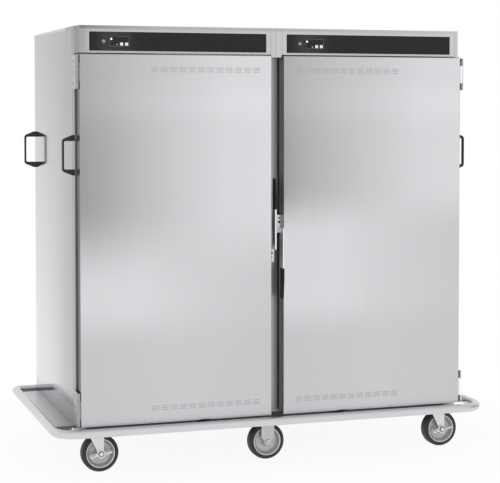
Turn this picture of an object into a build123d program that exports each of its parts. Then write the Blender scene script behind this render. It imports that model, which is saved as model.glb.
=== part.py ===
from build123d import *
import math
import os

# ---------------------------------------------------------------------------
# Two-door heated holding cabinet on six casters.
# Millimetres. +X to the right, -Y to the front, +Z up.
# Origin: on the floor, at the centre of the bumper's footprint.
# ---------------------------------------------------------------------------

os.makedirs("parts", exist_ok=True)

# ---- driving dimensions ---------------------------------------------------
# overall
BUMP_X = 936.0          # outer half width of the bumper tube
BUMP_Y = 524.0          # outer half depth of the bumper tube
TUBE_R = 17.5           # bumper tube radius
TUBE_T = 2.0            # bumper tube wall
TUBE_Z = 195.5          # bumper tube centre height
CORNER_R = 82.5         # bumper's front corner radius, on the tube's centre line
CORNER_RR = 30.0        # bumper's rear corner radius
WELD = 0.1              # root gap of the bumper's butt welds
H = 1800.0              # overall height

# cabinet shell
BODY_X = 826.0          # outer half width of the cabinet
FRAME_Y = -404.0        # front plane of the face frame
REAR_Y = 485.0          # rear plane of the cabinet
SIDE_Z0 = 203.0         # lower edge of the side panels
DECK_Z = 214.0          # top of the base frame
SHEET = 1.2             # outer sheet thickness
LINER_T = 1.0           # liner sheet thickness
POST_Y = -354.0         # seam between the front post and the side panel
FASCIA_X = 816.0        # half width of the control housing's front; its ends flare to the posts
FASCIA_Y = -458.0       # front plane of the control housing
FASCIA_Z = 1692.0       # lower edge of the control housing
CAP_Y = -231.0          # rear edge of the control housing's top deck
LIP = 12.0              # height of the top panels' turned-down lips

# doors
PAIR_X = 820.0          # outer half width of the door pair
GAP_X = 26.0            # half of the gap between the doors
DOOR_Y = -476.0         # front plane of the doors
DOOR_T = 57.0           # door thickness
DOOR_Z0, DOOR_Z1 = 215.0, 1687.0
GASKET_T = 15.0
DOOR_W = PAIR_X - GAP_X
DOOR_H = DOOR_Z1 - DOOR_Z0
DOOR_CZ = (DOOR_Z0 + DOOR_Z1) / 2
DOOR_CX = (PAIR_X + GAP_X) / 2

# compartments
OPEN_X0, OPEN_X1 = 54.0, 780.0      # opening, from the centre outwards
OPEN_Z0, OPEN_Z1 = 245.0, 1657.0
LINER_Y1 = 440.0                    # outer face of the liner's back
CELL_CX = (OPEN_X0 + OPEN_X1) / 2
CELL_W = OPEN_X1 - OPEN_X0
CELL_CZ = (OPEN_Z0 + OPEN_Z1) / 2
CELL_H = OPEN_Z1 - OPEN_Z0

# hinges
HINGE_X = 828.5
HINGE_Y = -469.0
HINGE_R = 8.0
HINGE_ZS = (217.0, 1550.0)          # lower end of each hinge
HINGE_L = 133.0
KNUCKLE = 30.0
LEAF_Y = -374.0                     # rear edge of the cabinet-side leaf

# latches: middle X, pivot height, way the grip points, inner side of the base
LATCH = {"left": (-11.8, 905.0, 1.0, -6.5), "right": (21.5, 975.0, -1.0, 6.5)}
LATCH_PY = -458.0                   # pivot's distance
LATCH_F, LATCH_B = -488.0, -452.0   # front and back of the lever
LATCH_W = 7.0                       # width of the lever
BASE_F = -448.0                     # front of the base housing

# casters
WHEEL_R = 76.2
CORE_R = 60.0
TREAD = 50.0
SWIVEL_X = 757.0
TRAIL = 44.0
CASTER_YF = -318.0
CASTER_YR = 398.0
PLATE_Z0, PLATE_Z1 = 185.0, 190.0
RUN = 0.05                          # running clearance, radial

# control strips
STRIP_X0, STRIP_X1 = 44.0, 778.0
STRIP_Z0, STRIP_Z1 = 1700.0, 1776.0
CTRL_Z = 1738.0
KEY = 11.5
MOD_W, MOD_H = 82.0, 43.0

# push handles
HND_Z0, HND_Z1 = 1207.5, 1368.5
HND_IN0, HND_IN1 = 1232.0, 1344.5
HND_OUT = 50.0
HND_W = 14.0
HND_YS = (-396.0, 477.0)

sides = {"left": -1.0, "right": 1.0}


def front_plane(x, y, z):
    """Sketch plane facing -Y (local x = +X, local y = +Z)."""
    return Plane(origin=(x, y, z), x_dir=(1, 0, 0), z_dir=(0, -1, 0))


def side_plane(x, y, z):
    """Sketch plane facing +X (local x = +Y, local y = +Z)."""
    return Plane(origin=(x, y, z), x_dir=(0, 1, 0), z_dir=(1, 0, 0))


def save(part, name):
    part.label = name
    export_step(part, f"parts/{name}.step")


# ---------------------------------------------------------------------------
# base: welded channel frame with a bottom skin
# ---------------------------------------------------------------------------
CASTERS = [
    ("front_left", -SWIVEL_X, CASTER_YF), ("front_right", SWIVEL_X, CASTER_YF),
    ("rear_left", -SWIVEL_X, CASTER_YR), ("rear_right", SWIVEL_X, CASTER_YR),
]
RIGIDS = [("front_middle", 0.0, CASTER_YF), ("rear_middle", 0.0, CASTER_YR)]

with BuildPart() as base_frame:
    with BuildSketch(Plane.XY.offset(190.0)):
        with Locations((0, 40.5)):
            Rectangle(1640, 881)
            Rectangle(1560, 801, mode=Mode.SUBTRACT)
        with Locations((0, 40.5)):
            Rectangle(80, 860)
        with Locations((-400, 40.5), (400, 40.5)):
            Rectangle(40, 860)
        with Locations((0, 40.5)):
            Rectangle(1600, 40)
        with Locations(*[(x, y) for _, x, y in CASTERS + RIGIDS]):
            Rectangle(122, 106)
    extrude(amount=DECK_Z - 190.0)
    # the rails are box section, with a 3 mm wall
    with BuildSketch(Plane.XY.offset(193.0)):
        with Locations((0, 40.5)):
            Rectangle(1634, 875)
            Rectangle(1566, 807, mode=Mode.SUBTRACT)
        with Locations((0, 40.5)):
            Rectangle(74, 807)
        with Locations((-400, 40.5), (400, 40.5)):
            Rectangle(34, 807)
        with Locations((0, 40.5)):
            Rectangle(1566, 34)
        with Locations(*[(x, y) for _, x, y in CASTERS + RIGIDS]):
            Rectangle(122, 106, mode=Mode.SUBTRACT)
    extrude(amount=DECK_Z - 196.0, mode=Mode.SUBTRACT)
    # bottom skin that closes the frame from below
    with BuildSketch(Plane.XY.offset(190.0)):
        with Locations((0, 40.5)):
            Rectangle(1640, 881)
    extrude(amount=2.0)
save(base_frame.part, "base_frame")

# ---------------------------------------------------------------------------
# bumper: closed ring of round tube
# ---------------------------------------------------------------------------
cx, cy = BUMP_X - TUBE_R, BUMP_Y - TUBE_R
with BuildPart() as bumper_rail:
    for sy, r in ((-1, CORNER_R), (1, CORNER_RR)):
        # front or rear tube
        with BuildSketch(Plane(origin=(-(cx - r) + WELD, sy * cy, TUBE_Z), x_dir=(0, 1, 0), z_dir=(1, 0, 0))):
            Circle(TUBE_R)
            Circle(TUBE_R - TUBE_T, mode=Mode.SUBTRACT)
        extrude(amount=2 * (cx - r - WELD))
    for sx in (-1, 1):
        # side tube
        with BuildSketch(Plane(origin=(sx * cx, -(cy - CORNER_R) + WELD, TUBE_Z), x_dir=(1, 0, 0), z_dir=(0, 1, 0))):
            Circle(TUBE_R)
            Circle(TUBE_R - TUBE_T, mode=Mode.SUBTRACT)
        extrude(amount=2 * cy - CORNER_R - CORNER_RR - 2 * WELD)
        # corner bends: two half bends at the front, one at the rear
        for sy, r, spans in ((-1, CORNER_R, ((0.0, 44.95), (45.05, 89.99))), (1, CORNER_RR, ((0.0, 89.99),))):
            px, py = sx * (cx - r), sy * (cy - r)
            turn = -1 if sx * sy > 0 else 1
            for a0, a1 in spans:
                a = math.radians(a0)
                # bend starts over the front or rear tube and runs towards the side tube
                ox, oy = sx * math.sin(a), sy * math.cos(a)
                with BuildSketch(Plane(origin=(px + r * ox, py + r * oy, TUBE_Z), x_dir=(ox, oy, 0),
                                       z_dir=(sx * math.cos(a), -sy * math.sin(a), 0))):
                    Circle(TUBE_R)
                    Circle(TUBE_R - TUBE_T, mode=Mode.SUBTRACT)
                revolve(axis=Axis((px, py, TUBE_Z), (0, 0, turn)), revolution_arc=a1 - a0)
save(bumper_rail.part, "bumper_rail")

# side plates and hidden straps that carry the bumper
PLATE_Y0, PLATE_Y1 = -382.0, 405.0
with BuildPart() as bumper_plates:
    for s in (-1, 1):
        with BuildSketch(Plane.XY.offset(198.0)):
            with Locations((s * (820.0 + 906.0) / 2, (PLATE_Y0 + PLATE_Y1) / 2)):
                Rectangle(86.0, PLATE_Y1 - PLATE_Y0)
        extrude(amount=5.0)
        with BuildSketch(Plane(origin=(s * cx, PLATE_Y0 - 5, TUBE_Z), x_dir=(1, 0, 0), z_dir=(0, 1, 0))):
            Circle(TUBE_R)
        extrude(amount=PLATE_Y1 - PLATE_Y0 + 10, mode=Mode.SUBTRACT)
    for x in (-300.0, 300.0):
        with BuildSketch(Plane.XY.offset(186.0)):
            with Locations((x, -432.0), (x, 478.0)):
                Rectangle(40.0, 130.0)
        extrude(amount=4.0)
    for s in (-1, 1):
        with BuildSketch(Plane(origin=(-600, s * cy, TUBE_Z), x_dir=(0, 1, 0), z_dir=(1, 0, 0))):
            Circle(TUBE_R)
        extrude(amount=1200, mode=Mode.SUBTRACT)
    # cut off whatever passed beyond the tube
    with BuildSketch(Plane.XY.offset(180.0)):
        with Locations((0, -cy - 50), (0, cy + 50)):
            Rectangle(1200, 100)
    extrude(amount=20.0, mode=Mode.SUBTRACT)
save(bumper_plates.part, "bumper_plates")

# ---------------------------------------------------------------------------
# outer shell
# ---------------------------------------------------------------------------
SHELL_Z1 = H - SHEET
with BuildPart() as side_panels:
    for s in (-1, 1):
        with BuildSketch(side_plane(s * (BODY_X - SHEET / 2), 0, 0)):
            with Locations(((POST_Y + REAR_Y) / 2, (SIDE_Z0 + SHELL_Z1) / 2)):
                Rectangle(REAR_Y - POST_Y, SHELL_Z1 - SIDE_Z0)
        extrude(amount=SHEET / 2, both=True)
        # joggled flange behind the front post
        with BuildSketch(side_plane(s * (BODY_X - SHEET * 1.5 - 0.05), 0, 0)):
            with Locations(((POST_Y - 20.0 + POST_Y + 20.0) / 2, (SIDE_Z0 + 12 + SHELL_Z1 - 12) / 2)):
                Rectangle(40.0, SHELL_Z1 - SIDE_Z0 - 24)
        extrude(amount=SHEET / 2 + 0.05, both=True)
        with BuildSketch(side_plane(s * (BODY_X - SHEET / 2), 0, 0)):
            with Locations((POST_Y - 15.0, (SIDE_Z0 + SHELL_Z1) / 2)):
                Rectangle(30.0, SHELL_Z1 - SIDE_Z0)
        extrude(amount=SHEET / 2 + 0.02, both=True, mode=Mode.SUBTRACT)
save(side_panels.part, "side_panels")

with BuildPart() as top_panel:
    with BuildSketch(Plane.XY.offset(SHELL_Z1)):
        with Locations((0, (CAP_Y + 1.0 + REAR_Y + SHEET) / 2)):
            Rectangle(2 * (BODY_X + SHEET), REAR_Y + SHEET - CAP_Y - 1.0)
    extrude(amount=SHEET)
    with BuildSketch(Plane.XY.offset(H - LIP)):
        for s in (-1, 1):
            with Locations((s * (BODY_X + SHEET / 2), (CAP_Y + 1.0 + REAR_Y + SHEET) / 2)):
                Rectangle(SHEET, REAR_Y + SHEET - CAP_Y - 1.0)
        with Locations((0, REAR_Y + SHEET / 2)):
            Rectangle(2 * (BODY_X + SHEET), SHEET)
    extrude(amount=LIP)
save(top_panel.part, "top_panel")

with BuildPart() as back_panel:
    with BuildSketch(front_plane(0, REAR_Y, (SIDE_Z0 + SHELL_Z1) / 2)):
        Rectangle(2 * (BODY_X - SHEET) - 0.2, SHELL_Z1 - SIDE_Z0)
        # louvre slots of the control compartment
        with Locations((0, (SHELL_Z1 - SIDE_Z0) / 2 - 60.0)):
            with GridLocations(34.0, 14.0, 16, 3):
                SlotOverall(26.0, 4.0, mode=Mode.SUBTRACT)
        # cord inlet opening
        with Locations((-560.0, -(SHELL_Z1 - SIDE_Z0) / 2 + 120.0)):
            Circle(17.0, mode=Mode.SUBTRACT)
    extrude(amount=SHEET)
    # stiffening ribs, inside
    with BuildSketch(front_plane(0, REAR_Y - SHEET, CELL_CZ)):
        with Locations((-300.0, 0), (300.0, 0)):
            Rectangle(60.0, 1380.0)
    extrude(amount=6.0)
save(back_panel.part, "back_panel")

FR_T = 1.5
FR_Z0, FR_Z1 = DECK_Z + 0.0, 1690.0
with BuildPart() as face_frame:
    with BuildSketch(front_plane(0, FRAME_Y + FR_T, (FR_Z0 + FR_Z1) / 2)):
        Rectangle(2 * BODY_X, FR_Z1 - FR_Z0)
        with Locations((-CELL_CX, CELL_CZ - (FR_Z0 + FR_Z1) / 2), (CELL_CX, CELL_CZ - (FR_Z0 + FR_Z1) / 2)):
            RectangleRounded(CELL_W, CELL_H, 12.0, mode=Mode.SUBTRACT)
    extrude(amount=FR_T)
    # returns of the two front posts, from the plates to the top
    for s in (-1, 1):
        with BuildSketch(side_plane(s * (BODY_X - SHEET / 2), 0, 0)):
            with Locations(((FRAME_Y + POST_Y - 1.0) / 2, (SIDE_Z0 + SHELL_Z1) / 2)):
                Rectangle(POST_Y - 1.0 - FRAME_Y, SHELL_Z1 - SIDE_Z0)
        extrude(amount=SHEET / 2, both=True)
        with BuildSketch(front_plane(s * (BODY_X + 812.0) / 2, FRAME_Y + FR_T, (SIDE_Z0 + SHELL_Z1) / 2)):
            Rectangle(BODY_X - 812.0, SHELL_Z1 - SIDE_Z0)
        extrude(amount=FR_T)
    # throat of the mullion
    for s in (-1, 1):
        with BuildSketch(side_plane(s * 50.0, 0, 0)):
            with Locations((FRAME_Y + FR_T + 5.0, CELL_CZ)):
                Rectangle(10.0 + 0.4, CELL_H + 40.0)
        extrude(amount=1.0, both=True)
save(face_frame.part, "face_frame")

# ---------------------------------------------------------------------------
# liners, insulation, heating cable
# ---------------------------------------------------------------------------
LIN_Y0 = FRAME_Y + FR_T
with BuildPart() as cavity_liners:
    for s in (-1, 1):
        with BuildSketch(front_plane(s * CELL_CX, LINER_Y1, CELL_CZ)):
            RectangleRounded(CELL_W + 2 * LINER_T, CELL_H + 2 * LINER_T, 13.0)
            RectangleRounded(CELL_W, CELL_H, 12.0, mode=Mode.SUBTRACT)
        extrude(amount=LINER_Y1 - LIN_Y0)
        with BuildSketch(front_plane(s * CELL_CX, LINER_Y1, CELL_CZ)):
            RectangleRounded(CELL_W + 2 * LINER_T, CELL_H + 2 * LINER_T, 13.0)
        extrude(amount=LINER_T)
    # relief for the mullion's throat strips
    for s in (-1, 1):
        with BuildSketch(side_plane(s * 50.0, 0, 0)):
            with Locations((FRAME_Y + FR_T + 6.0, CELL_CZ)):
                Rectangle(13.0, CELL_H + 42.0)
        extrude(amount=1.2, both=True, mode=Mode.SUBTRACT)
save(cavity_liners.part, "cavity_liners")

INS_GAP, INS_T = 5.5, 18.0
with BuildPart() as cabinet_insulation:
    for s in (-1, 1):
        iw, ih = CELL_W + 2 * LINER_T + 2 * INS_GAP, CELL_H + 2 * LINER_T + 2 * INS_GAP
        with BuildSketch(front_plane(s * CELL_CX, LINER_Y1 + INS_GAP + INS_T, CELL_CZ)):
            Rectangle(iw + 2 * INS_T, ih + 2 * INS_T)
        extrude(amount=LINER_Y1 + INS_GAP + INS_T - (FRAME_Y + 16.0))
        with BuildSketch(front_plane(s * CELL_CX, LINER_Y1 + INS_GAP, CELL_CZ)):
            Rectangle(iw, ih)
        extrude(amount=LINER_Y1 + INS_GAP - (FRAME_Y + 10.0), mode=Mode.SUBTRACT)
save(cabinet_insulation.part, "cabinet_insulation")

# heating cable: a flat serpentine on each liner side and back
CAB_R = 1.8
CAB_OFF = 2.75
with BuildPart() as heater_cables:
    serps = []
    for s in (-1, 1):
        xi, xo = s * (OPEN_X0 - LINER_T - CAB_OFF), s * (OPEN_X1 + LINER_T + CAB_OFF)
        serps.append((Plane(origin=(xi, 0, 0), x_dir=(0, 1, 0), z_dir=(1, 0, 0)), -350.0, 400.0))
        serps.append((Plane(origin=(xo, 0, 0), x_dir=(0, 1, 0), z_dir=(1, 0, 0)), -350.0, 400.0))
        serps.append((Plane(origin=(s * CELL_CX, LINER_Y1 + CAB_OFF, 0), x_dir=(1, 0, 0), z_dir=(0, -1, 0)), -320.0, 320.0))
    for pl, a0, a1 in serps:
        pts = []
        z = 320.0
        flip = False
        while z < 1610.0:
            row = [(a0, z), (a1, z)]
            pts += row[::-1] if flip else row
            flip = not flip
            z += 160.0
        with BuildLine(pl) as run:
            FilletPolyline(*pts, radius=45.0)
        start = run.line @ 0
        tang = run.line % 0
        with BuildSketch(Plane(origin=start, z_dir=tang)):
            Circle(CAB_R)
        sweep(path=run.line)
save(heater_cables.part, "heater_cables")

# ---------------------------------------------------------------------------
# shelving
# ---------------------------------------------------------------------------
SHELF_Z = (600.0, 952.0, 1304.0)
UP_Y = (-262.0, 298.0)
UP_W, UP_D, UP_T = 26.0, 9.0, 1.5
UP_Z0, UP_Z1 = 262.0, 1640.0
with BuildPart() as shelf_uprights:
    for s in (-1, 1):
        for wall in (-1, 1):
            xw = s * CELL_CX + wall * CELL_W / 2        # liner wall
            for y in UP_Y:
                xf = xw - wall * UP_D                     # face of the strip
                with BuildSketch(side_plane(xf + wall * UP_T / 2, y, (UP_Z0 + UP_Z1) / 2)):
                    Rectangle(UP_W, UP_Z1 - UP_Z0)
                    with GridLocations(1, 88.0, 1, 15):
                        Rectangle(10.0, 20.0, mode=Mode.SUBTRACT)
                extrude(amount=UP_T / 2, both=True)
                for e in (-1, 1):
                    with BuildSketch(side_plane(xw - wall * UP_D / 2, y + e * (UP_W - UP_T) / 2, (UP_Z0 + UP_Z1) / 2)):
                        Rectangle(UP_T, UP_Z1 - UP_Z0)
                    extrude(amount=UP_D / 2, both=True)
                # clips under the shelves
                for z in SHELF_Z:
                    with BuildSketch(Plane.XY.offset(z - 7.0)):
                        with Locations((xf - wall * 8.0, y)):
                            Rectangle(16.0, 18.0)
                    extrude(amount=3.0)
save(shelf_uprights.part, "shelf_uprights")

SH_W, SH_D = CELL_W - 2 * UP_D - 6.0, 780.0
SH_CY = 12.0
with BuildPart() as wire_shelf:
    with BuildSketch(Plane.XY.offset(-4.0)):
        Rectangle(SH_W, SH_D)
        Rectangle(SH_W - 14.0, SH_D - 14.0, mode=Mode.SUBTRACT)
        with Locations((0, -130.0), (0, 130.0)):
            Rectangle(SH_W - 7.0, 6.0)
    extrude(amount=7.0)
    with BuildSketch(Plane.XY.offset(2.0)):
        with GridLocations(30.0, 1, 23, 1):
            Rectangle(4.0, SH_D - 7.0)
    extrude(amount=4.0)
with BuildPart() as wire_shelves:
    for s in (-1, 1):
        for z in SHELF_Z:
            add(wire_shelf.part.moved(Location((s * CELL_CX, SH_CY, z))))
save(wire_shelves.part, "wire_shelves")

# ---------------------------------------------------------------------------
# control housing, strips, controllers, keys
# ---------------------------------------------------------------------------
HS_T = 3.0              # housing front thickness
POCK = 1.6              # pocket depth for the strips
# offsets of the controls from the left end of each strip
OFF_POWER, OFF_MOD = 58.0, 121.0
OFF_KEYS = (("down", 130.2), ("up", 150.6))
KEY_Z = CTRL_Z - 10.8
strips = {"left": -STRIP_X1, "right": STRIP_X0}     # X of each strip's left end
SH_L = STRIP_X1 - STRIP_X0
POWER_R = 8.0

with BuildPart() as fascia_housing:
    # closed tray, open to the back, flared from the front to the posts
    with BuildSketch(Plane.XY.offset(FASCIA_Z)):
        with BuildLine():
            Polyline((-FASCIA_X, FASCIA_Y), (FASCIA_X, FASCIA_Y), (BODY_X, FRAME_Y - 0.5), (-BODY_X, FRAME_Y - 0.5), close=True)
        make_face()
    extrude(amount=SHELL_Z1 - FASCIA_Z)
    with BuildSketch(Plane.XY.offset(FASCIA_Z + SHEET)):
        with BuildLine():
            Polyline((-FASCIA_X + SHEET, FASCIA_Y + HS_T), (FASCIA_X - SHEET, FASCIA_Y + HS_T),
                     (BODY_X - SHEET, FRAME_Y + 1.0), (-BODY_X + SHEET, FRAME_Y + 1.0), close=True)
        make_face()
    extrude(amount=SHELL_Z1 - FASCIA_Z, mode=Mode.SUBTRACT)
    # top deck
    with BuildSketch(Plane.XY.offset(SHELL_Z1)):
        with BuildLine():
            Polyline((-FASCIA_X, FASCIA_Y), (FASCIA_X, FASCIA_Y), (BODY_X, FRAME_Y), (-BODY_X, FRAME_Y), close=True)
        make_face()
        with Locations((0, (FRAME_Y + CAP_Y) / 2)):
            Rectangle(2 * (BODY_X + SHEET), CAP_Y - FRAME_Y)
    extrude(amount=SHEET)
    with BuildSketch(Plane.XY.offset(H - LIP)):
        for s in (-1, 1):
            with Locations((s * (BODY_X + SHEET / 2), (FRAME_Y + CAP_Y) / 2)):
                Rectangle(SHEET, CAP_Y - FRAME_Y)
    extrude(amount=LIP)
    for name, x0 in strips.items():
        with BuildSketch(front_plane(x0 + SH_L / 2, FASCIA_Y + POCK, (STRIP_Z0 + STRIP_Z1) / 2)):
            Rectangle(SH_L, STRIP_Z1 - STRIP_Z0)
        extrude(amount=POCK + 1, mode=Mode.SUBTRACT)
        with BuildSketch(front_plane(x0, FASCIA_Y + HS_T + 1, CTRL_Z)):
            with Locations((OFF_POWER, 0)):
                Circle(POWER_R + 1.5)
            with Locations((OFF_MOD, 0)):
                Rectangle(MOD_W - 10.0, MOD_H - 8.0)
        extrude(amount=HS_T + 2, mode=Mode.SUBTRACT)
    # tab that closes the gap between the doors' top ends
    with BuildSketch(front_plane(0, FASCIA_Y + 1.5, FASCIA_Z - 5.0)):
        Rectangle(44.0, 12.0)
    extrude(amount=1.5)
    # butt seams of the front sheets
    with BuildSketch(front_plane(0, FASCIA_Y + 0.6, (FASCIA_Z + H - LIP) / 2)):
        with Locations((-800.0, 0), (-25.0, 0), (-3.0, 0), (25.0, 0), (800.0, 0)):
            Rectangle(0.8, H - LIP - FASCIA_Z)
        with Locations((0, (H - LIP - FASCIA_Z) / 2)):
            Rectangle(2 * FASCIA_X, 0.8)
    extrude(amount=2.0, mode=Mode.SUBTRACT)
save(fascia_housing.part, "fascia_housing")

with BuildPart() as control_overlays:
    for name, x0 in strips.items():
        with BuildSketch(front_plane(x0, FASCIA_Y + POCK, CTRL_Z)):
            with Locations((SH_L / 2, 0)):
                RectangleRounded(SH_L - 0.6, STRIP_Z1 - STRIP_Z0 - 0.6, 1.5)
            with Locations((OFF_POWER, 0)):
                Circle(POWER_R + 0.3, mode=Mode.SUBTRACT)
            with Locations((OFF_MOD, 0)):
                Rectangle(MOD_W - 9.0, MOD_H - 7.0, mode=Mode.SUBTRACT)
        extrude(amount=1.5)
save(control_overlays.part, "control_overlays")
OVER_Y = FASCIA_Y + POCK - 1.5        # front face of the strips

MOD_F = 3.0                            # controller bezel stands this far out
with BuildPart() as controller_modules:
    for name, x0 in strips.items():
        with BuildSketch(front_plane(x0 + OFF_MOD, OVER_Y, CTRL_Z)):
            RectangleRounded(MOD_W, MOD_H, 2.5)
        extrude(amount=MOD_F)
        with BuildSketch(front_plane(x0 + OFF_MOD, -401.0, CTRL_Z)):
            Rectangle(MOD_W - 10.4, MOD_H - 8.4)
        extrude(amount=-401.0 - OVER_Y)
        # sunk display window above the keys, and its indicator bore
        with BuildSketch(front_plane(x0 + OFF_MOD, OVER_Y - MOD_F + 1.2, CTRL_Z)):
            with Locations((3.0, 7.8)):
                Rectangle(68.0, 20.0)
            with Locations((-19.0, -9.6)):
                Rectangle(36.0, 14.0)
        extrude(amount=2.0, mode=Mode.SUBTRACT)
        # key wells
        for kn, off in OFF_KEYS:
            with BuildSketch(front_plane(x0 + off, OVER_Y - MOD_F + 3.6, KEY_Z)):
                Rectangle(KEY + 0.4, KEY + 0.4)
            extrude(amount=5.0, mode=Mode.SUBTRACT)
    # controller board behind each power key
    for name, x0 in strips.items():
        with BuildSketch(front_plane(x0 + OFF_POWER, FASCIA_Y + HS_T + 9.0, CTRL_Z)):
            Rectangle(30.0, 30.0)
        extrude(amount=3.0)
save(controller_modules.part, "controller_modules")

KEY_OUT = 0.7
for name, x0 in strips.items():
    for kn, off in OFF_KEYS:
        with BuildPart() as key:
            with BuildSketch(front_plane(x0 + off, OVER_Y - MOD_F + 2.4, KEY_Z)):
                RectangleRounded(KEY, KEY, 1.5)
            extrude(amount=2.4 + KEY_OUT)
            chamfer(key.faces().sort_by(Axis.Y)[0].edges(), 0.4)
        save(key.part, f"key_{kn}_{name}")
    with BuildPart() as power:
        with BuildSketch(front_plane(x0 + OFF_POWER, FASCIA_Y + HS_T + 2.0, CTRL_Z)):
            Circle(POWER_R)
        extrude(amount=HS_T + 2.0 + 1.0)
        chamfer(power.faces().sort_by(Axis.Y)[0].edges(), 0.5)
        with BuildSketch(front_plane(x0 + OFF_POWER, FASCIA_Y + HS_T + 2.8, CTRL_Z)):
            Circle(POWER_R + 1.2)
        extrude(amount=1.6)
    save(power.part, f"key_power_{name}")

# ---------------------------------------------------------------------------
# push handles
# ---------------------------------------------------------------------------
with BuildPart() as push_handles:
    for s in (-1, 1):
        for y in HND_YS:
            with BuildSketch(front_plane(0, y, 0)):
                with BuildLine():
                    FilletPolyline(
                        (s * BODY_X, HND_Z0), (s * (BODY_X + 8), HND_Z0), (s * (BODY_X + HND_OUT), HND_Z0 + 17),
                        (s * (BODY_X + HND_OUT), HND_Z1 - 17), (s * (BODY_X + 8), HND_Z1), (s * BODY_X, HND_Z1),
                        radius=(4.0, 14.0, 14.0, 4.0))
                    Line((s * BODY_X, HND_Z1), (s * BODY_X, HND_Z0))
                make_face()
                with BuildLine():
                    FilletPolyline(
                        (s * BODY_X, HND_IN0), (s * (BODY_X + HND_OUT - 8.0), HND_IN0),
                        (s * (BODY_X + HND_OUT - 8.0), HND_IN1), (s * BODY_X, HND_IN1),
                        radius=6.0)
                    Line((s * BODY_X, HND_IN1), (s * BODY_X, HND_IN0))
                make_face(mode=Mode.SUBTRACT)
            extrude(amount=HND_W / 2, both=True)
    # rounded grip edges
    grip_edges = push_handles.edges().filter_by(
        lambda e: abs(e.center().X) > BODY_X + 1.5 and abs(e.tangent_at(0.5).Y) < 0.1)
    fillet(grip_edges, 2.6)
save(push_handles.part, "push_handles")

# ---------------------------------------------------------------------------
# hinges: cabinet side with pins, and the latch strikes
# ---------------------------------------------------------------------------
PIN_R = 3.5
with BuildPart() as frame_hinges_and_strikes:
    for s in (-1, 1):
        for z0 in HINGE_ZS:
            with BuildSketch(Plane.XY.offset(z0)):
                with Locations((s * HINGE_X, HINGE_Y)):
                    Circle(HINGE_R)
                with Locations((s * (BODY_X + 1.5), (HINGE_Y + LEAF_Y) / 2)):
                    Rectangle(3.0, LEAF_Y - HINGE_Y)
            extrude(amount=HINGE_L)
            # room for the door's knuckle
            with BuildSketch(Plane.XY.offset(z0 + KNUCKLE)):
                with Locations((s * HINGE_X, HINGE_Y)):
                    Circle(HINGE_R + 1.0)
            extrude(amount=HINGE_L - 2 * KNUCKLE, mode=Mode.SUBTRACT)
            with BuildSketch(Plane.XY.offset(z0)):
                with Locations((s * HINGE_X, HINGE_Y)):
                    Circle(PIN_R)
            extrude(amount=HINGE_L)
            # pin head
            with BuildSketch(Plane.XY.offset(z0 + HINGE_L)):
                with Locations((s * HINGE_X, HINGE_Y)):
                    Circle(HINGE_R - 2.0)
            extrude(amount=1.5)
    fillet(frame_hinges_and_strikes.edges().filter_by(Axis.X).filter_by(
        lambda e: abs(e.center().Y - LEAF_Y) < 0.01), 9.0)
    # strikes on the mullion, one for each latch
    for x, z in ((-8.0, LATCH["left"][1] - 24.5), (8.0, LATCH["right"][1] + 24.5)):
        with BuildSketch(front_plane(x, FRAME_Y, z)):
            RectangleRounded(15.0, 70.0, 3.0)
        extrude(amount=2.5)
        with BuildSketch(front_plane(x, FRAME_Y - 2.5, z)):
            Rectangle(11.0, 26.0)
        extrude(amount=8.0)
save(frame_hinges_and_strikes.part, "frame_hinges_and_strikes")

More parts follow.
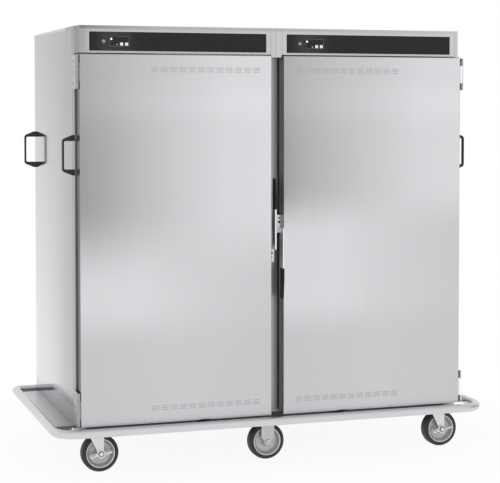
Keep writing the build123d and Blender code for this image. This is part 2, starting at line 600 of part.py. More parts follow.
# ---------------------------------------------------------------------------
# doors
# ---------------------------------------------------------------------------
VENT_N, VENT_P = 12, 38.7
VENT_TOP = DOOR_Z1 - 59.5
VENT_BOT = DOOR_Z0 + 59.5
for name, s in sides.items():
    dcx = s * DOOR_CX
    back_y = DOOR_Y + DOOR_T
    vent_cx = s * (GAP_X + 52.0 + 14.0 + (VENT_N - 1) * VENT_P / 2)
    with BuildPart() as door_skin:
        with BuildSketch(front_plane(dcx, back_y, DOOR_CZ)):
            Rectangle(DOOR_W, DOOR_H)
        extrude(amount=DOOR_T)
        fillet(door_skin.faces().sort_by(Axis.Y)[0].edges(), 3.5)
        with BuildSketch(front_plane(dcx, back_y, DOOR_CZ)):
            Rectangle(DOOR_W - 2 * SHEET, DOOR_H - 2 * SHEET)
        extrude(amount=DOOR_T - SHEET, mode=Mode.SUBTRACT)
        # solid corner bead so that the rounded edge keeps its wall
        with BuildSketch(front_plane(dcx, DOOR_Y + 4.0, DOOR_CZ)):
            Rectangle(DOOR_W - 2 * SHEET, DOOR_H - 2 * SHEET)
            Rectangle(DOOR_W - 2 * SHEET - 5.0, DOOR_H - 2 * SHEET - 5.0, mode=Mode.SUBTRACT)
        extrude(amount=4.0 - SHEET)
        # vent slits, twelve groups of three in each row
        with BuildSketch(front_plane(vent_cx, DOOR_Y + SHEET + 1.0, 0)):
            with Locations((0, VENT_TOP), (0, VENT_BOT)):
                with GridLocations(VENT_P, 8.0, VENT_N, 3):
                    SlotOverall(28.5, 3.0)
        extrude(amount=SHEET + 2.0, mode=Mode.SUBTRACT)
    save(door_skin.part, f"door_skin_{name}")

    # inner pan: closes the back, with a raised field
    with BuildPart() as door_liner:
        with BuildSketch(front_plane(dcx, back_y - 0.0, DOOR_CZ)):
            Rectangle(DOOR_W - 2 * SHEET - 0.4, DOOR_H - 2 * SHEET - 0.4)
        extrude(amount=12.0)
        with BuildSketch(front_plane(dcx, back_y - LINER_T, DOOR_CZ)):
            Rectangle(DOOR_W - 2 * SHEET - 0.4 - 2 * LINER_T, DOOR_H - 2 * SHEET - 0.4 - 2 * LINER_T)
        extrude(amount=12.0, mode=Mode.SUBTRACT)
        with BuildSketch(front_plane(dcx, back_y + 9.0, DOOR_CZ)):
            RectangleRounded(DOOR_W - 96.0, DOOR_H - 96.0, 10.0)
        extrude(amount=10.0)
        chamfer(door_liner.faces().sort_by(Axis.Y)[-1].edges(), 6.0)
        with BuildSketch(front_plane(dcx, back_y + 9.0 - LINER_T, DOOR_CZ)):
            RectangleRounded(DOOR_W - 96.0 - 16.0, DOOR_H - 96.0 - 16.0, 6.0)
        extrude(amount=10.0, mode=Mode.SUBTRACT)
    save(door_liner.part, f"door_liner_{name}")

    with BuildPart() as door_insulation:
        with BuildSketch(front_plane(dcx, back_y - 14.0, DOOR_CZ)):
            Rectangle(DOOR_W - 12.0, DOOR_H - 12.0)
        extrude(amount=26.0)
    save(door_insulation.part, f"door_insulation_{name}")

    with BuildPart() as door_gasket:
        with BuildSketch(front_plane(dcx, back_y, DOOR_CZ)):
            RectangleRounded(DOOR_W - 12.0, DOOR_H - 12.0, 8.0)
            RectangleRounded(DOOR_W - 52.0, DOOR_H - 52.0, 5.0, mode=Mode.SUBTRACT)
        extrude(amount=-GASKET_T)
        # bellows groove round the outside
        with BuildSketch(front_plane(dcx, back_y + 9.5, DOOR_CZ)):
            Rectangle(DOOR_W, DOOR_H)
            Rectangle(DOOR_W - 18.0, DOOR_H - 18.0, mode=Mode.SUBTRACT)
        extrude(amount=4.0, mode=Mode.SUBTRACT)
    save(door_gasket.part, f"door_gasket_{name}")

    with BuildPart() as hinge_leaf:
        for z0 in HINGE_ZS:
            zk0, zk1 = z0 + KNUCKLE + 0.2, z0 + HINGE_L - KNUCKLE - 0.2
            with BuildSketch(Plane.XY.offset(zk0)):
                with Locations((s * HINGE_X, HINGE_Y)):
                    Circle(HINGE_R)
                with Locations((s * (PAIR_X + 1.5), (HINGE_Y - 426.0) / 2)):
                    Rectangle(3.0, -426.0 - HINGE_Y)
                with Locations((s * (PAIR_X + 3.5), HINGE_Y)):
                    Rectangle(7.0, 8.0)
                with Locations((s * HINGE_X, HINGE_Y)):
                    Circle(PIN_R + RUN, mode=Mode.SUBTRACT)
            extrude(amount=zk1 - zk0)
    save(hinge_leaf.part, f"hinge_door_leaves_{name}")

# ---------------------------------------------------------------------------
# latches: base on the door edge, lever with grip
# ---------------------------------------------------------------------------
for name, (xc, piv, up, xi) in LATCH.items():
    edge = sides[name] * GAP_X            # side face of the door
    with BuildPart() as latch_base:
        # housing bolted to the door's edge, below the lever
        with BuildSketch(front_plane((edge + xi) / 2, -424.0, piv - up * 24.5)):
            RectangleRounded(abs(edge - xi), 73.0, 2.5)
        extrude(amount=-424.0 - BASE_F)
        # cheeks that carry the pivot
        for e in (-1, 1):
            with BuildSketch(side_plane(xc + e * 4.0, LATCH_PY, piv)):
                Circle(8.0)
                with Locations((6.0, 0)):
                    Rectangle(12.0, 16.0)
            extrude(amount=0.4, both=True)
        with BuildSketch(side_plane(xc, LATCH_PY, piv)):
            Circle(2.5)
        extrude(amount=4.4, both=True)
        # spring bolt that reaches for the strike
        with BuildSketch(front_plane(sides[name] * 17.0, -424.0, piv - up * 24.5)):
            Rectangle(10.0, 16.0)
        extrude(amount=-8.0)
    save(latch_base.part, f"latch_base_{name}")

    with BuildPart() as latch_lever:
        # deep channel, open to the back
        with BuildSketch(side_plane(xc, LATCH_PY, piv)):
            Circle(6.0)
            with BuildLine():
                Polyline((6.0, 0.0), (6.0, up * 156.0), (LATCH_F - LATCH_PY, up * 156.0),
                         (LATCH_F - LATCH_PY, -up * 7.0), (LATCH_F - LATCH_PY + 3.0, -up * 10.0),
                         (-8.0, -up * 8.5), (0.0, -up * 6.0), (0.0, 0.0), close=True)
            make_face()
        extrude(amount=LATCH_W / 2, both=True)
        fillet(latch_lever.faces().sort_by(Axis.Y)[0].edges().filter_by(Axis.Z), 2.0)
        with BuildSketch(front_plane(xc, LATCH_B + 1.0, piv + up * 88.0)):
            Rectangle(LATCH_W - 3.0, 124.0)
        extrude(amount=LATCH_B + 1.0 - LATCH_F - 2.0, mode=Mode.SUBTRACT)
        with BuildSketch(side_plane(xc, LATCH_PY, piv)):
            Circle(2.5 + RUN)
        extrude(amount=6.0, both=True, mode=Mode.SUBTRACT)
        # tang that the grip is pushed on to
        with BuildSketch(front_plane(xc, -466.0, piv + up * 178.0)):
            Rectangle(4.0, 48.0)
        extrude(amount=10.0)
    save(latch_lever.part, f"latch_lever_{name}")

    with BuildPart() as latch_grip:
        with BuildSketch(side_plane(xc, LATCH_PY, piv)):
            with BuildLine():
                Polyline((2.0, up * 156.3), (2.0, up * 276.0), (-3.0, up * 283.0), (-13.0, up * 283.0),
                         (-18.0, up * 277.0), (-30.0, up * 205.0), (-30.0, up * 156.3), close=True)
            make_face()
        extrude(amount=4.3, both=True)
        fillet(latch_grip.edges().filter_by(lambda e: abs(abs(e.center().X - xc) - 4.3) < 0.01
                                            and abs(e.center().Z - piv) > 157.0), 2.0)
        with BuildSketch(front_plane(xc, -465.9, piv + up * 180.0)):
            Rectangle(4.2, 50.0)
        extrude(amount=10.2, mode=Mode.SUBTRACT)
    save(latch_grip.part, f"latch_grip_{name}")

# ---------------------------------------------------------------------------
# casters
# ---------------------------------------------------------------------------
AX_R = 6.0
KING_R = 7.0
LEG_IN, LEG_T = 29.0, 5.0
with BuildPart() as caster_mounts:
    for nm, x, y in CASTERS:
        with BuildSketch(Plane.XY.offset(PLATE_Z0)):
            with Locations((x, y)):
                RectangleRounded(100.0, 85.0, 8.0)
        extrude(amount=PLATE_Z1 - PLATE_Z0)
        with BuildSketch(Plane.XY.offset(176.0)):
            with Locations((x, y)):
                Circle(30.0)
        extrude(amount=PLATE_Z0 - 176.0)
        with BuildSketch(Plane.XY.offset(162.0)):
            with Locations((x, y)):
                Circle(KING_R)
        extrude(amount=14.0)
        with BuildSketch(Plane.XY.offset(162.0)):
            with Locations((x, y)):
                RegularPolygon(11.0, 6)
        extrude(amount=7.7)
    for nm, x, y in RIGIDS:
        with BuildSketch(Plane.XY.offset(PLATE_Z0)):
            with Locations((x, y)):
                RectangleRounded(100.0, 85.0, 8.0)
        extrude(amount=PLATE_Z1 - PLATE_Z0)
        with BuildSketch(Plane.XY.offset(178.0)):
            with Locations((x, y)):
                RectangleRounded(60.0, 2 * (LEG_IN + LEG_T), 6.0)
        extrude(amount=PLATE_Z0 - 178.0)
        for e in (-1, 1):
            with BuildSketch(front_plane(x, y + e * (LEG_IN + LEG_T / 2), 0)):
                with BuildLine():
                    Polyline((-28.0, 180.0), (-28.0, WHEEL_R + 18.0), (-14.0, WHEEL_R + 2.0), (-10.0, WHEEL_R - 12.0),
                             (10.0, WHEEL_R - 12.0), (14.0, WHEEL_R + 2.0), (28.0, WHEEL_R + 18.0), (28.0, 180.0), close=True)
                make_face()
            extrude(amount=LEG_T / 2, both=True)
        # axle bolt with its head and nut
        with BuildSketch(front_plane(x, y, WHEEL_R)):
            Circle(AX_R)
        extrude(amount=LEG_IN + LEG_T + 3.0, both=True)
        for e in (-1, 1):
            with BuildSketch(front_plane(x, y + e * (LEG_IN + LEG_T + 3.5), WHEEL_R)):
                RegularPolygon(10.5, 6)
            extrude(amount=3.5, both=True)
save(caster_mounts.part, "caster_mounts")

for nm, x, y in CASTERS:
    xw = x + TRAIL
    braked = nm.startswith("front")
    with BuildPart() as fork:
        with BuildSketch(Plane.XY.offset(170.0)):
            with Locations((x, y)):
                Circle(36.0)
            with Locations((x + 14.0, y)):
                Rectangle(74.0, 2 * (LEG_IN + LEG_T))
        extrude(amount=5.9)
        with BuildSketch(Plane.XY.offset(169.0)):
            with Locations((x, y)):
                Circle(KING_R + RUN)
        extrude(amount=8.0, mode=Mode.SUBTRACT)
        for e in (-1, 1):
            with BuildSketch(front_plane(xw, y + e * (LEG_IN + LEG_T / 2), 0)):
                with BuildLine():
                    Polyline((-58.0, 173.0), (-18.0, 92.0), (-14.0, WHEEL_R - 8.0), (-7.0, WHEEL_R - 14.0),
                             (7.0, WHEEL_R - 14.0), (12.0, WHEEL_R - 8.0), (12.0, 173.0), close=True)
                make_face()
            extrude(amount=LEG_T / 2, both=True)
        # pressed ribs on the legs
        for e in (-1, 1):
            with BuildSketch(front_plane(xw, y + e * (LEG_IN + LEG_T), 0)):
                with BuildLine():
                    Polyline((-36.0, 164.0), (-9.0, 104.0), (1.0, 104.0), (1.0, 164.0), close=True)
                make_face()
            extrude(amount=-e * 1.5)
        # axle bolt
        with BuildSketch(front_plane(xw, y, WHEEL_R)):
            Circle(AX_R)
        extrude(amount=LEG_IN + LEG_T + 3.0, both=True)
        out = LEG_IN + LEG_T
        with BuildSketch(front_plane(xw, y + out, WHEEL_R)):
            RegularPolygon(10.5, 6)
        extrude(amount=-6.0)
        if braked:
            # boss that the brake lever turns on, then the bolt head
            with BuildSketch(front_plane(xw, y - out, WHEEL_R)):
                Circle(11.0)
            extrude(amount=4.4)
            with BuildSketch(front_plane(xw, y - out - 4.4, WHEEL_R)):
                Circle(13.0)
            extrude(amount=1.5)
            with BuildSketch(front_plane(xw, y - out - 5.9, WHEEL_R)):
                RegularPolygon(9.0, 6)
            extrude(amount=4.0)
        else:
            with BuildSketch(front_plane(xw, y - out, WHEEL_R)):
                RegularPolygon(10.5, 6)
            extrude(amount=6.0)
    save(fork.part, f"caster_fork_{nm}")

    if braked:
        tilt = math.radians(11.0)
        tx, tz = math.cos(tilt), math.sin(tilt)
        py = y - out - 0.2
        with BuildPart() as pedal:
            with BuildSketch(Plane(origin=(xw, py, WHEEL_R), x_dir=(tx, 0, tz), z_dir=(0, -1, 0))):
                Circle(18.0)
                with Locations((26.0, 0)):
                    Rectangle(34.0, 13.0)
                with Locations((-30.0, 0)):
                    Rectangle(36.0, 13.0)
                Circle(11.0 + RUN, mode=Mode.SUBTRACT)
            extrude(amount=4.0)
            # foot pads bent outwards
            with BuildSketch(Plane(origin=(xw, py - 4.0, WHEEL_R), x_dir=(tx, 0, tz), z_dir=(0, -1, 0))):
                with Locations((30.0, 2.0)):
                    Rectangle(28.0, 5.0)
                with Locations((-36.0, -1.0)):
                    Rectangle(28.0, 5.0)
            extrude(amount=14.0)
        save(pedal.part, f"brake_lever_{nm}")

for nm, x, y in [(n, x + TRAIL, y) for n, x, y in CASTERS] + RIGIDS:
    hub = 28.7
    with BuildPart() as core:
        with BuildSketch(side_plane(x, y, WHEEL_R)):
            with BuildLine():
                Polyline((-hub, AX_R + RUN), (hub, AX_R + RUN), (hub, 17.0), (12.0, 19.0), (7.0, 24.0), (6.0, 46.0),
                         (16.0, 53.0), (22.5, 54.0), (22.5, CORE_R), (-22.5, CORE_R), (-22.5, 54.0), (-16.0, 53.0),
                         (-6.0, 46.0), (-7.0, 24.0), (-12.0, 19.0), (-hub, 17.0), close=True)
            make_face()
        revolve(axis=Axis((x, y, WHEEL_R), (0, 1, 0)))
    save(core.part, f"wheel_core_{nm}")
    with BuildPart() as tyre:
        with BuildSketch(side_plane(x, y, WHEEL_R)):
            with BuildLine():
                Polyline((-22.5, CORE_R), (22.5, CORE_R), (22.5, 57.5), (24.5, 58.5), (TREAD / 2, 66.0))
                RadiusArc((TREAD / 2, 66.0), (15.0, WHEEL_R), -11.0)
                Line((15.0, WHEEL_R), (-15.0, WHEEL_R))
                RadiusArc((-15.0, WHEEL_R), (-TREAD / 2, 66.0), -11.0)
                Polyline((-TREAD / 2, 66.0), (-24.5, 58.5), (-22.5, 57.5), (-22.5, CORE_R))
            make_face()
        revolve(axis=Axis((x, y, WHEEL_R), (0, 1, 0)))
    save(tyre.part, f"tyre_{nm}")

# ---------------------------------------------------------------------------
# power inlet at the back, fasteners
# ---------------------------------------------------------------------------
INLET_X, INLET_Z = -560.0, SIDE_Z0 + 120.0
with BuildPart() as power_inlet:
    with BuildSketch(Plane(origin=(INLET_X, REAR_Y, INLET_Z), x_dir=(1, 0, 0), z_dir=(0, 1, 0))):
        Circle(24.0)
    extrude(amount=6.0)
    with BuildSketch(Plane(origin=(INLET_X, REAR_Y + 6.0, INLET_Z), x_dir=(1, 0, 0), z_dir=(0, 1, 0))):
        Circle(17.0)
    extrude(amount=12.0)
    chamfer(power_inlet.faces().sort_by(Axis.Y)[-1].edges(), 3.0)
    with BuildSketch(Plane(origin=(INLET_X, REAR_Y - 14.0, INLET_Z), x_dir=(1, 0, 0), z_dir=(0, 1, 0))):
        Circle(16.8)
    extrude(amount=14.0)
    with BuildSketch(Plane(origin=(INLET_X, REAR_Y - 20.0, INLET_Z), x_dir=(1, 0, 0), z_dir=(0, 1, 0))):
        Circle(6.0)
    extrude(amount=50.0, mode=Mode.SUBTRACT)
save(power_inlet.part, "power_inlet")

with BuildPart() as fasteners:
    for s in (-1, 1):
        # hinge screws
        for z0 in HINGE_ZS:
            for dz in (22.0, HINGE_L / 2, HINGE_L - 22.0):
                with BuildSketch(side_plane(s * (BODY_X + 3.0), -388.0, z0 + dz)):
                    Circle(4.5)
                extrude(amount=s * 2.0)
    # bolts of the caster plates
    for nm, x, y in CASTERS + RIGIDS:
        with BuildSketch(Plane.XY.offset(PLATE_Z0)):
            with Locations((x, y)):
                with GridLocations(80.0, 62.0, 2, 2):
                    RegularPolygon(6.5, 6)
        extrude(amount=-5.0)
    # back panel screws
    with BuildSketch(Plane(origin=(0, REAR_Y, 0), x_dir=(-1, 0, 0), z_dir=(0, 1, 0))):
        for z in (240.0, 620.0, 1000.0, 1380.0, 1760.0):
            with Locations((-808.0, z), (808.0, z)):
                Circle(4.0)
    extrude(amount=2.0)
save(fasteners.part, "fasteners")

print("parts:", len(os.listdir("parts")))
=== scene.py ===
import math

import bmesh
import bpy
from mathutils import Matrix, Vector


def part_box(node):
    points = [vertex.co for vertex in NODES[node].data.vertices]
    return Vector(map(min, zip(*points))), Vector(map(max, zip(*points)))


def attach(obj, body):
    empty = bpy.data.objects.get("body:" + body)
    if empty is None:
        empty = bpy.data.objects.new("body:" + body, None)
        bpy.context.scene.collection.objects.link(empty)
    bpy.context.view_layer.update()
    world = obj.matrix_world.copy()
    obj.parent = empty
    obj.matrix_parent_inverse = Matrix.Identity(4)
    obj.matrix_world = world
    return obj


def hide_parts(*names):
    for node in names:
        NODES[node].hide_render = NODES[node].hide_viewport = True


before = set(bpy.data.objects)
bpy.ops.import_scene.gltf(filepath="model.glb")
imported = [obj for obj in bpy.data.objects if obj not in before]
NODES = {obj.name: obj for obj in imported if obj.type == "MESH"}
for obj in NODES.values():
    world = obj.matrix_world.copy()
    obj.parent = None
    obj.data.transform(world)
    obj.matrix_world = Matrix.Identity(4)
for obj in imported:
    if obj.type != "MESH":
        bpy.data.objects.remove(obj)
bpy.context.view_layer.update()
SCN = bpy.context.scene


# ---------------------------------------------------------------------------
# node helpers
# ---------------------------------------------------------------------------
def lin(level):
    """Display level 0..255 to a linear value."""
    v = level / 255.0
    return v / 12.92 if v <= 0.04045 else ((v + 0.055) / 1.055) ** 2.4


class Mat:
    def __init__(self, name):
        self.m = bpy.data.materials.new(name)
        self.m.use_nodes = True
        self.nt = self.m.node_tree
        self.nt.nodes.clear()
        self.out = self.nt.nodes.new("ShaderNodeOutputMaterial")
        self.b = self.nt.nodes.new("ShaderNodeBsdfPrincipled")
        self.nt.links.new(self.b.outputs[0], self.out.inputs[0])
        self.p = self.nt.nodes.new("ShaderNodeTexCoord").outputs["Object"]
        s = self.nt.nodes.new("ShaderNodeSeparateXYZ")
        self.put(s.inputs[0], self.p)
        self.x, self.y, self.z = s.outputs

    def put(self, sock, v):
        if isinstance(v, bpy.types.NodeSocket):
            self.nt.links.new(v, sock)
        elif hasattr(sock, "default_value"):
            if hasattr(sock.default_value, "__len__") and not hasattr(v, "__len__"):
                v = (v, v, v, 1.0)[: len(sock.default_value)]
            elif hasattr(v, "__len__") and len(v) == 3 and len(sock.default_value) == 4:
                v = (*v, 1.0)
            sock.default_value = v
        return sock

    def set(self, **kw):
        for k, v in kw.items():
            self.put(self.b.inputs[k.replace("_", " ")], v)
        return self

    def math(self, op, a, b=0.0, c=0.0, clamp=False):
        n = self.nt.nodes.new("ShaderNodeMath")
        n.operation = op
        n.use_clamp = clamp
        self.put(n.inputs[0], a)
        self.put(n.inputs[1], b)
        self.put(n.inputs[2], c)
        return n.outputs[0]

    def range(self, v, a, b, c=0.0, d=1.0, kind="SMOOTHSTEP"):
        n = self.nt.nodes.new("ShaderNodeMapRange")
        n.interpolation_type = kind
        n.clamp = True
        for i, x in enumerate((v, a, b, c, d)):
            self.put(n.inputs[i], x)
        return n.outputs[0]

    def ramp(self, v, stops, interp="B_SPLINE"):
        n = self.nt.nodes.new("ShaderNodeValToRGB")
        n.color_ramp.interpolation = interp
        e = n.color_ramp.elements
        while len(e) < len(stops):
            e.new(0.5)
        for el, (pos, val) in zip(e, stops):
            el.position = pos
        for el, (pos, val) in zip(e, stops):
            el.color = (*val, 1.0) if hasattr(val, "__len__") else (val, val, val, 1.0)
        self.put(n.inputs[0], v)
        return n.outputs[0]

    def scaled(self, scale, rot=(0, 0, 0)):
        n = self.nt.nodes.new("ShaderNodeMapping")
        n.vector_type = "POINT"
        self.put(n.inputs["Vector"], self.p)
        n.inputs["Scale"].default_value = scale
        n.inputs["Rotation"].default_value = rot
        return n.outputs[0]

    def noise(self, scale=(1, 1, 1), detail=3.0, rough=0.5, dist=0.0):
        n = self.nt.nodes.new("ShaderNodeTexNoise")
        self.put(n.inputs["Vector"], self.scaled(scale))
        n.inputs["Scale"].default_value = 1.0
        n.inputs["Detail"].default_value = detail
        n.inputs["Roughness"].default_value = rough
        n.inputs["Distortion"].default_value = dist
        return n.outputs[0]

    def voronoi(self, scale, feature="F1"):
        n = self.nt.nodes.new("ShaderNodeTexVoronoi")
        n.feature = feature
        self.put(n.inputs["Vector"], self.scaled(scale))
        n.inputs["Scale"].default_value = 1.0
        return n.outputs["Distance"]

    def mix(self, f, a, b):
        n = self.nt.nodes.new("ShaderNodeMix")
        n.data_type = "RGBA"
        self.put(n.inputs[0], f)
        self.put(n.inputs[6], a)
        self.put(n.inputs[7], b)
        return n.outputs[2]

    def mixf(self, f, a, b):
        n = self.nt.nodes.new("ShaderNodeMix")
        n.data_type = "FLOAT"
        self.put(n.inputs[0], f)
        self.put(n.inputs[2], a)
        self.put(n.inputs[3], b)
        return n.outputs[0]

    def rgb(self, v, tint=(1, 1, 1)):
        n = self.nt.nodes.new("ShaderNodeCombineXYZ")
        for i in range(3):
            self.put(n.inputs[i], self.math("MULTIPLY", v, tint[i]))
        return n.outputs[0]

    def bump(self, h, strength=0.2, distance=0.001):
        n = self.nt.nodes.new("ShaderNodeBump")
        n.inputs["Strength"].default_value = strength
        n.inputs["Distance"].default_value = distance
        self.put(n.inputs["Height"], h)
        self.put(self.b.inputs["Normal"], n.outputs[0])


TINT = (0.985, 0.995, 1.02)


def steel(name, level=190, rough=0.32, grain="z", streak=0.045, smudge=0.03, tone=None,
          tint=TINT, bump=0.05, edge=None):
    """Brushed stainless steel. The grain runs along one axis."""
    M = Mat(name)
    across, along = 620.0, 5.0
    sc = {"x": (along, across, across), "y": (across, along, across), "z": (across, across, along)}[grain]
    sc2 = tuple(v * (0.17 if v > 10 else 0.5) for v in sc)
    fine, broad = M.noise(sc, 2.0, 0.6), M.noise(sc2, 2.0, 0.5)
    cloud = M.noise((5.0, 5.0, 5.0), 3.0, 0.55)
    t = tone(M) if tone else lin(level)
    s = M.math("ADD", M.math("MULTIPLY", fine, 0.6), M.math("MULTIPLY", broad, 0.4))
    f = M.math("MULTIPLY_ADD", M.math("SUBTRACT", s, 0.5), 2 * streak, 1.0)
    f = M.math("MULTIPLY_ADD", M.math("SUBTRACT", cloud, 0.5), smudge, f)
    v = M.math("MULTIPLY", t, f)
    col = M.rgb(v, tint)
    if edge:
        col = edge(M, col)
    r = M.math("MULTIPLY_ADD", M.math("SUBTRACT", fine, 0.5), 0.10, rough)
    r = M.math("MULTIPLY_ADD", M.math("SUBTRACT", cloud, 0.5), 0.10, r)
    M.set(Base_Color=col, Metallic=1.0, Roughness=r)
    M.bump(s, bump, 0.0004)
    return M.m


# tones of the big panels, painted light: broad soft gradients stand in for the reflections in the brushed sheet
def door_tone(side):
    def make(M):
        u = M.range(M.x, -0.820, -0.026, kind="LINEAR") if side == "left" else M.range(M.x, 0.026, 0.820, kind="LINEAR")
        v = M.range(M.z, 0.215, 1.687, kind="LINEAR")
        L = lambda *s: [(p, lin(x)) for p, x in s]
        if side == "left":
            top = M.ramp(u, L((0.0, 174), (0.12, 184), (0.3, 197), (0.5, 206), (0.75, 219), (1.0, 222)), "LINEAR")
            mid = M.ramp(u, L((0.0, 161), (0.1, 171), (0.3, 191), (0.5, 206), (0.75, 219), (1.0, 222)), "LINEAR")
        else:
            top = M.ramp(u, L((0.0, 178), (0.12, 188), (0.3, 199), (0.5, 207), (0.75, 220), (1.0, 224)), "LINEAR")
            mid = M.ramp(u, L((0.0, 163), (0.1, 180), (0.3, 194), (0.5, 206), (0.75, 219), (1.0, 222)), "LINEAR")
        low = M.ramp(u, L((0.0, 217), (0.3, 220), (0.5, 214), (0.75, 209), (1.0, 205)), "LINEAR")
        foot = M.ramp(u, L((0.0, 200), (0.5, 205), (1.0, 202)), "LINEAR")
        upper = M.mix(M.range(v, 0.72, 0.98), mid, top)
        # painted highlight: a faint brighter band high on each door
        painted_highlight_band = M.range(M.math("ABSOLUTE", M.math("SUBTRACT", v, 0.87)), 0.0, 0.08, 1.05, 1.0)
        lo, hi = (0.36, 0.60) if side == "left" else (0.49, 0.645)
        upper = M.mix(M.range(v, lo, hi), low, upper)
        all_ = M.mix(M.range(v, 0.20, 0.33), foot, upper)
        return M.math("MULTIPLY", all_, painted_highlight_band)
    return make


def painted_edge_shade(M, col):
    """Painted shade on the door's edges, behind the rounded front edge: very dark on the outer edges, lighter on the
    edges at the mullion.
    """
    e = M.range(M.y, -0.4735, -0.4722, kind="LINEAR")
    n = M.noise((30.0, 30.0, 6.0), 2.0)
    dark = M.rgb(M.math("MULTIPLY_ADD", n, 0.035, 0.042), (1.0, 1.0, 1.02))
    inner = M.rgb(M.math("MULTIPLY_ADD", n, 0.04, 0.24), (1.0, 1.0, 1.02))
    dark = M.mix(M.range(M.math("ABSOLUTE", M.x), 0.10, 0.05, kind="LINEAR"), dark, inner)
    return M.mix(e, col, dark)


def side_tone(M):
    # painted light: the broad gradients stand in for the panel's reflections, lighter towards the back and the bottom
    w = M.range(M.y, -0.404, 0.485, kind="LINEAR")
    v = M.range(M.z, 0.203, 1.80, kind="LINEAR")
    L = lambda *s: [(p, lin(x)) for p, x in s]
    top = M.ramp(w, L((0.0, 126), (0.2, 132), (0.4, 141), (0.6, 148), (0.8, 156), (1.0, 161)), "LINEAR")
    bot = M.ramp(w, L((0.0, 138), (0.2, 157), (0.4, 188), (0.6, 203), (0.8, 212), (1.0, 222)), "LINEAR")
    t = M.mix(M.range(v, 0.1, 0.95, kind="LINEAR"), bot, top)
    # painted shade just above the lower edge, where the plate meets the panel
    foot = M.math("MULTIPLY", M.range(M.z, 0.203, 0.30, 0.72, 1.0), M.range(M.z, 0.205, 0.210, 0.55, 1.0))
    return M.math("MULTIPLY", t, foot)


def post_tone(M):
    """Face frame, with painted shade: the outer returns are darker towards the top, and the mullion darkens to the
    right.
    """
    L = lambda *s: [(p, lin(x)) for p, x in s]
    v = M.range(M.z, 0.203, 1.80, kind="LINEAR")
    side = M.mix(M.range(v, 0.1, 0.95, kind="LINEAR"), M.rgb(lin(158)), M.rgb(lin(142)))
    face = M.ramp(M.range(M.x, -0.026, 0.026, kind="LINEAR"), L((0.0, 190), (0.5, 184), (1.0, 160)), "LINEAR")
    outer = M.range(M.math("ABSOLUTE", M.x), 0.8235, 0.8240, kind="LINEAR")
    near = M.range(M.math("ABSOLUTE", M.x), 0.040, 0.060)
    face = M.mix(near, face, M.rgb(lin(176)))
    return M.mix(outer, face, side)


def fascia_tone(M):
    """Control housing, with painted shade: darker towards its left end and along the folded lip on the top."""
    L = lambda *s: [(p, lin(x)) for p, x in s]
    u = M.range(M.x, -0.816, 0.816, kind="LINEAR")
    t = M.ramp(u, L((0.0, 166), (0.012, 179), (0.03, 186), (0.10, 190), (0.45, 196), (0.52, 202), (0.70, 198), (0.90, 202), (0.975, 208), (1.0, 206)), "LINEAR")
    lip = M.ramp(u, L((0.0, 134), (0.03, 148), (0.10, 166), (0.22, 184), (0.60, 186), (0.9, 196), (1.0, 204)), "LINEAR")
    t = M.mix(M.range(M.z, 1.7865, 1.7885, kind="LINEAR"), t, lip)
    # soft shadow lines of the sheet joints
    k = 1.0
    for x in (-0.800, -0.025, -0.003, 0.025, 0.800):
        k = M.math("MULTIPLY", k, M.range(M.math("ABSOLUTE", M.math("SUBTRACT", M.x, x)), 0.0006, 0.0026, 0.82, 1.0))
    front = M.range(M.y, -0.4575, -0.4570, kind="LINEAR")
    t = M.math("MULTIPLY", t, k)
    # ends and deck: painted shade makes the ends darker than the deck
    side = M.mix(M.range(M.z, 1.7985, 1.7995, kind="LINEAR"), M.rgb(lin(148)), M.rgb(lin(192)))
    return M.mix(front, t, side)


def bumper_tone(M):
    """Even satin tube; the side of the rear tube that faces the plates is in their shade."""
    k = M.math("MULTIPLY", M.range(M.y, 0.470, 0.484, kind="LINEAR"), M.range(M.y, 0.5065, 0.500, kind="LINEAR"))
    k = M.math("MULTIPLY", k, M.range(M.z, 0.2045, 0.199))
    return M.math("MULTIPLY", lin(212), M.math("MULTIPLY_ADD", k, -0.78, 1.0))


HINGE_Z = (0.2835, 1.6165)


def hinge_tone(M):
    """Cast hinge. Painted light on the right hinges: a painted highlight on the middle knuckle and a painted
    shade-to-highlight ramp across the barrel; the left hinges are one even tone.
    """
    mid = None
    for zc in HINGE_Z:
        k = M.range(M.math("ABSOLUTE", M.math("SUBTRACT", M.z, zc)), 0.0372, 0.0362, kind="LINEAR")
        mid = k if mid is None else M.math("ADD", mid, k)
    k = M.math("MULTIPLY", mid, M.range(M.x, 0.70, 0.80, kind="LINEAR"))
    base = M.ramp(M.range(M.x, 0.8205, 0.8365, kind="LINEAR"), [(0.0, lin(110)), (0.45, lin(128)), (0.62, lin(235)), (1.0, lin(252))], "LINEAR")
    base = M.mix(M.range(M.x, 0.70, 0.80, kind="LINEAR"), M.rgb(lin(162)), base)
    return M.mix(k, base, M.rgb(lin(250)))


def gusset_tone(M):
    # painted shade: darker towards the inside, lighter at the outer end
    a = M.range(M.math("ABSOLUTE", M.x), 0.782, 0.834, kind="LINEAR")
    return M.ramp(a, [(0.0, lin(96)), (0.5, lin(150)), (1.0, lin(196))], "LINEAR")


def plate_tone(M):
    # painted shade: darker next to the body, and much darker at the front end by the corner slot
    a = M.range(M.math("ABSOLUTE", M.x), 0.820, 0.905, kind="LINEAR")
    t = M.ramp(a, [(0.0, lin(158)), (0.35, lin(170)), (1.0, lin(190))], "LINEAR")
    return M.math("MULTIPLY", t, M.range(M.y, -0.378, -0.345, 0.22, 1.0))


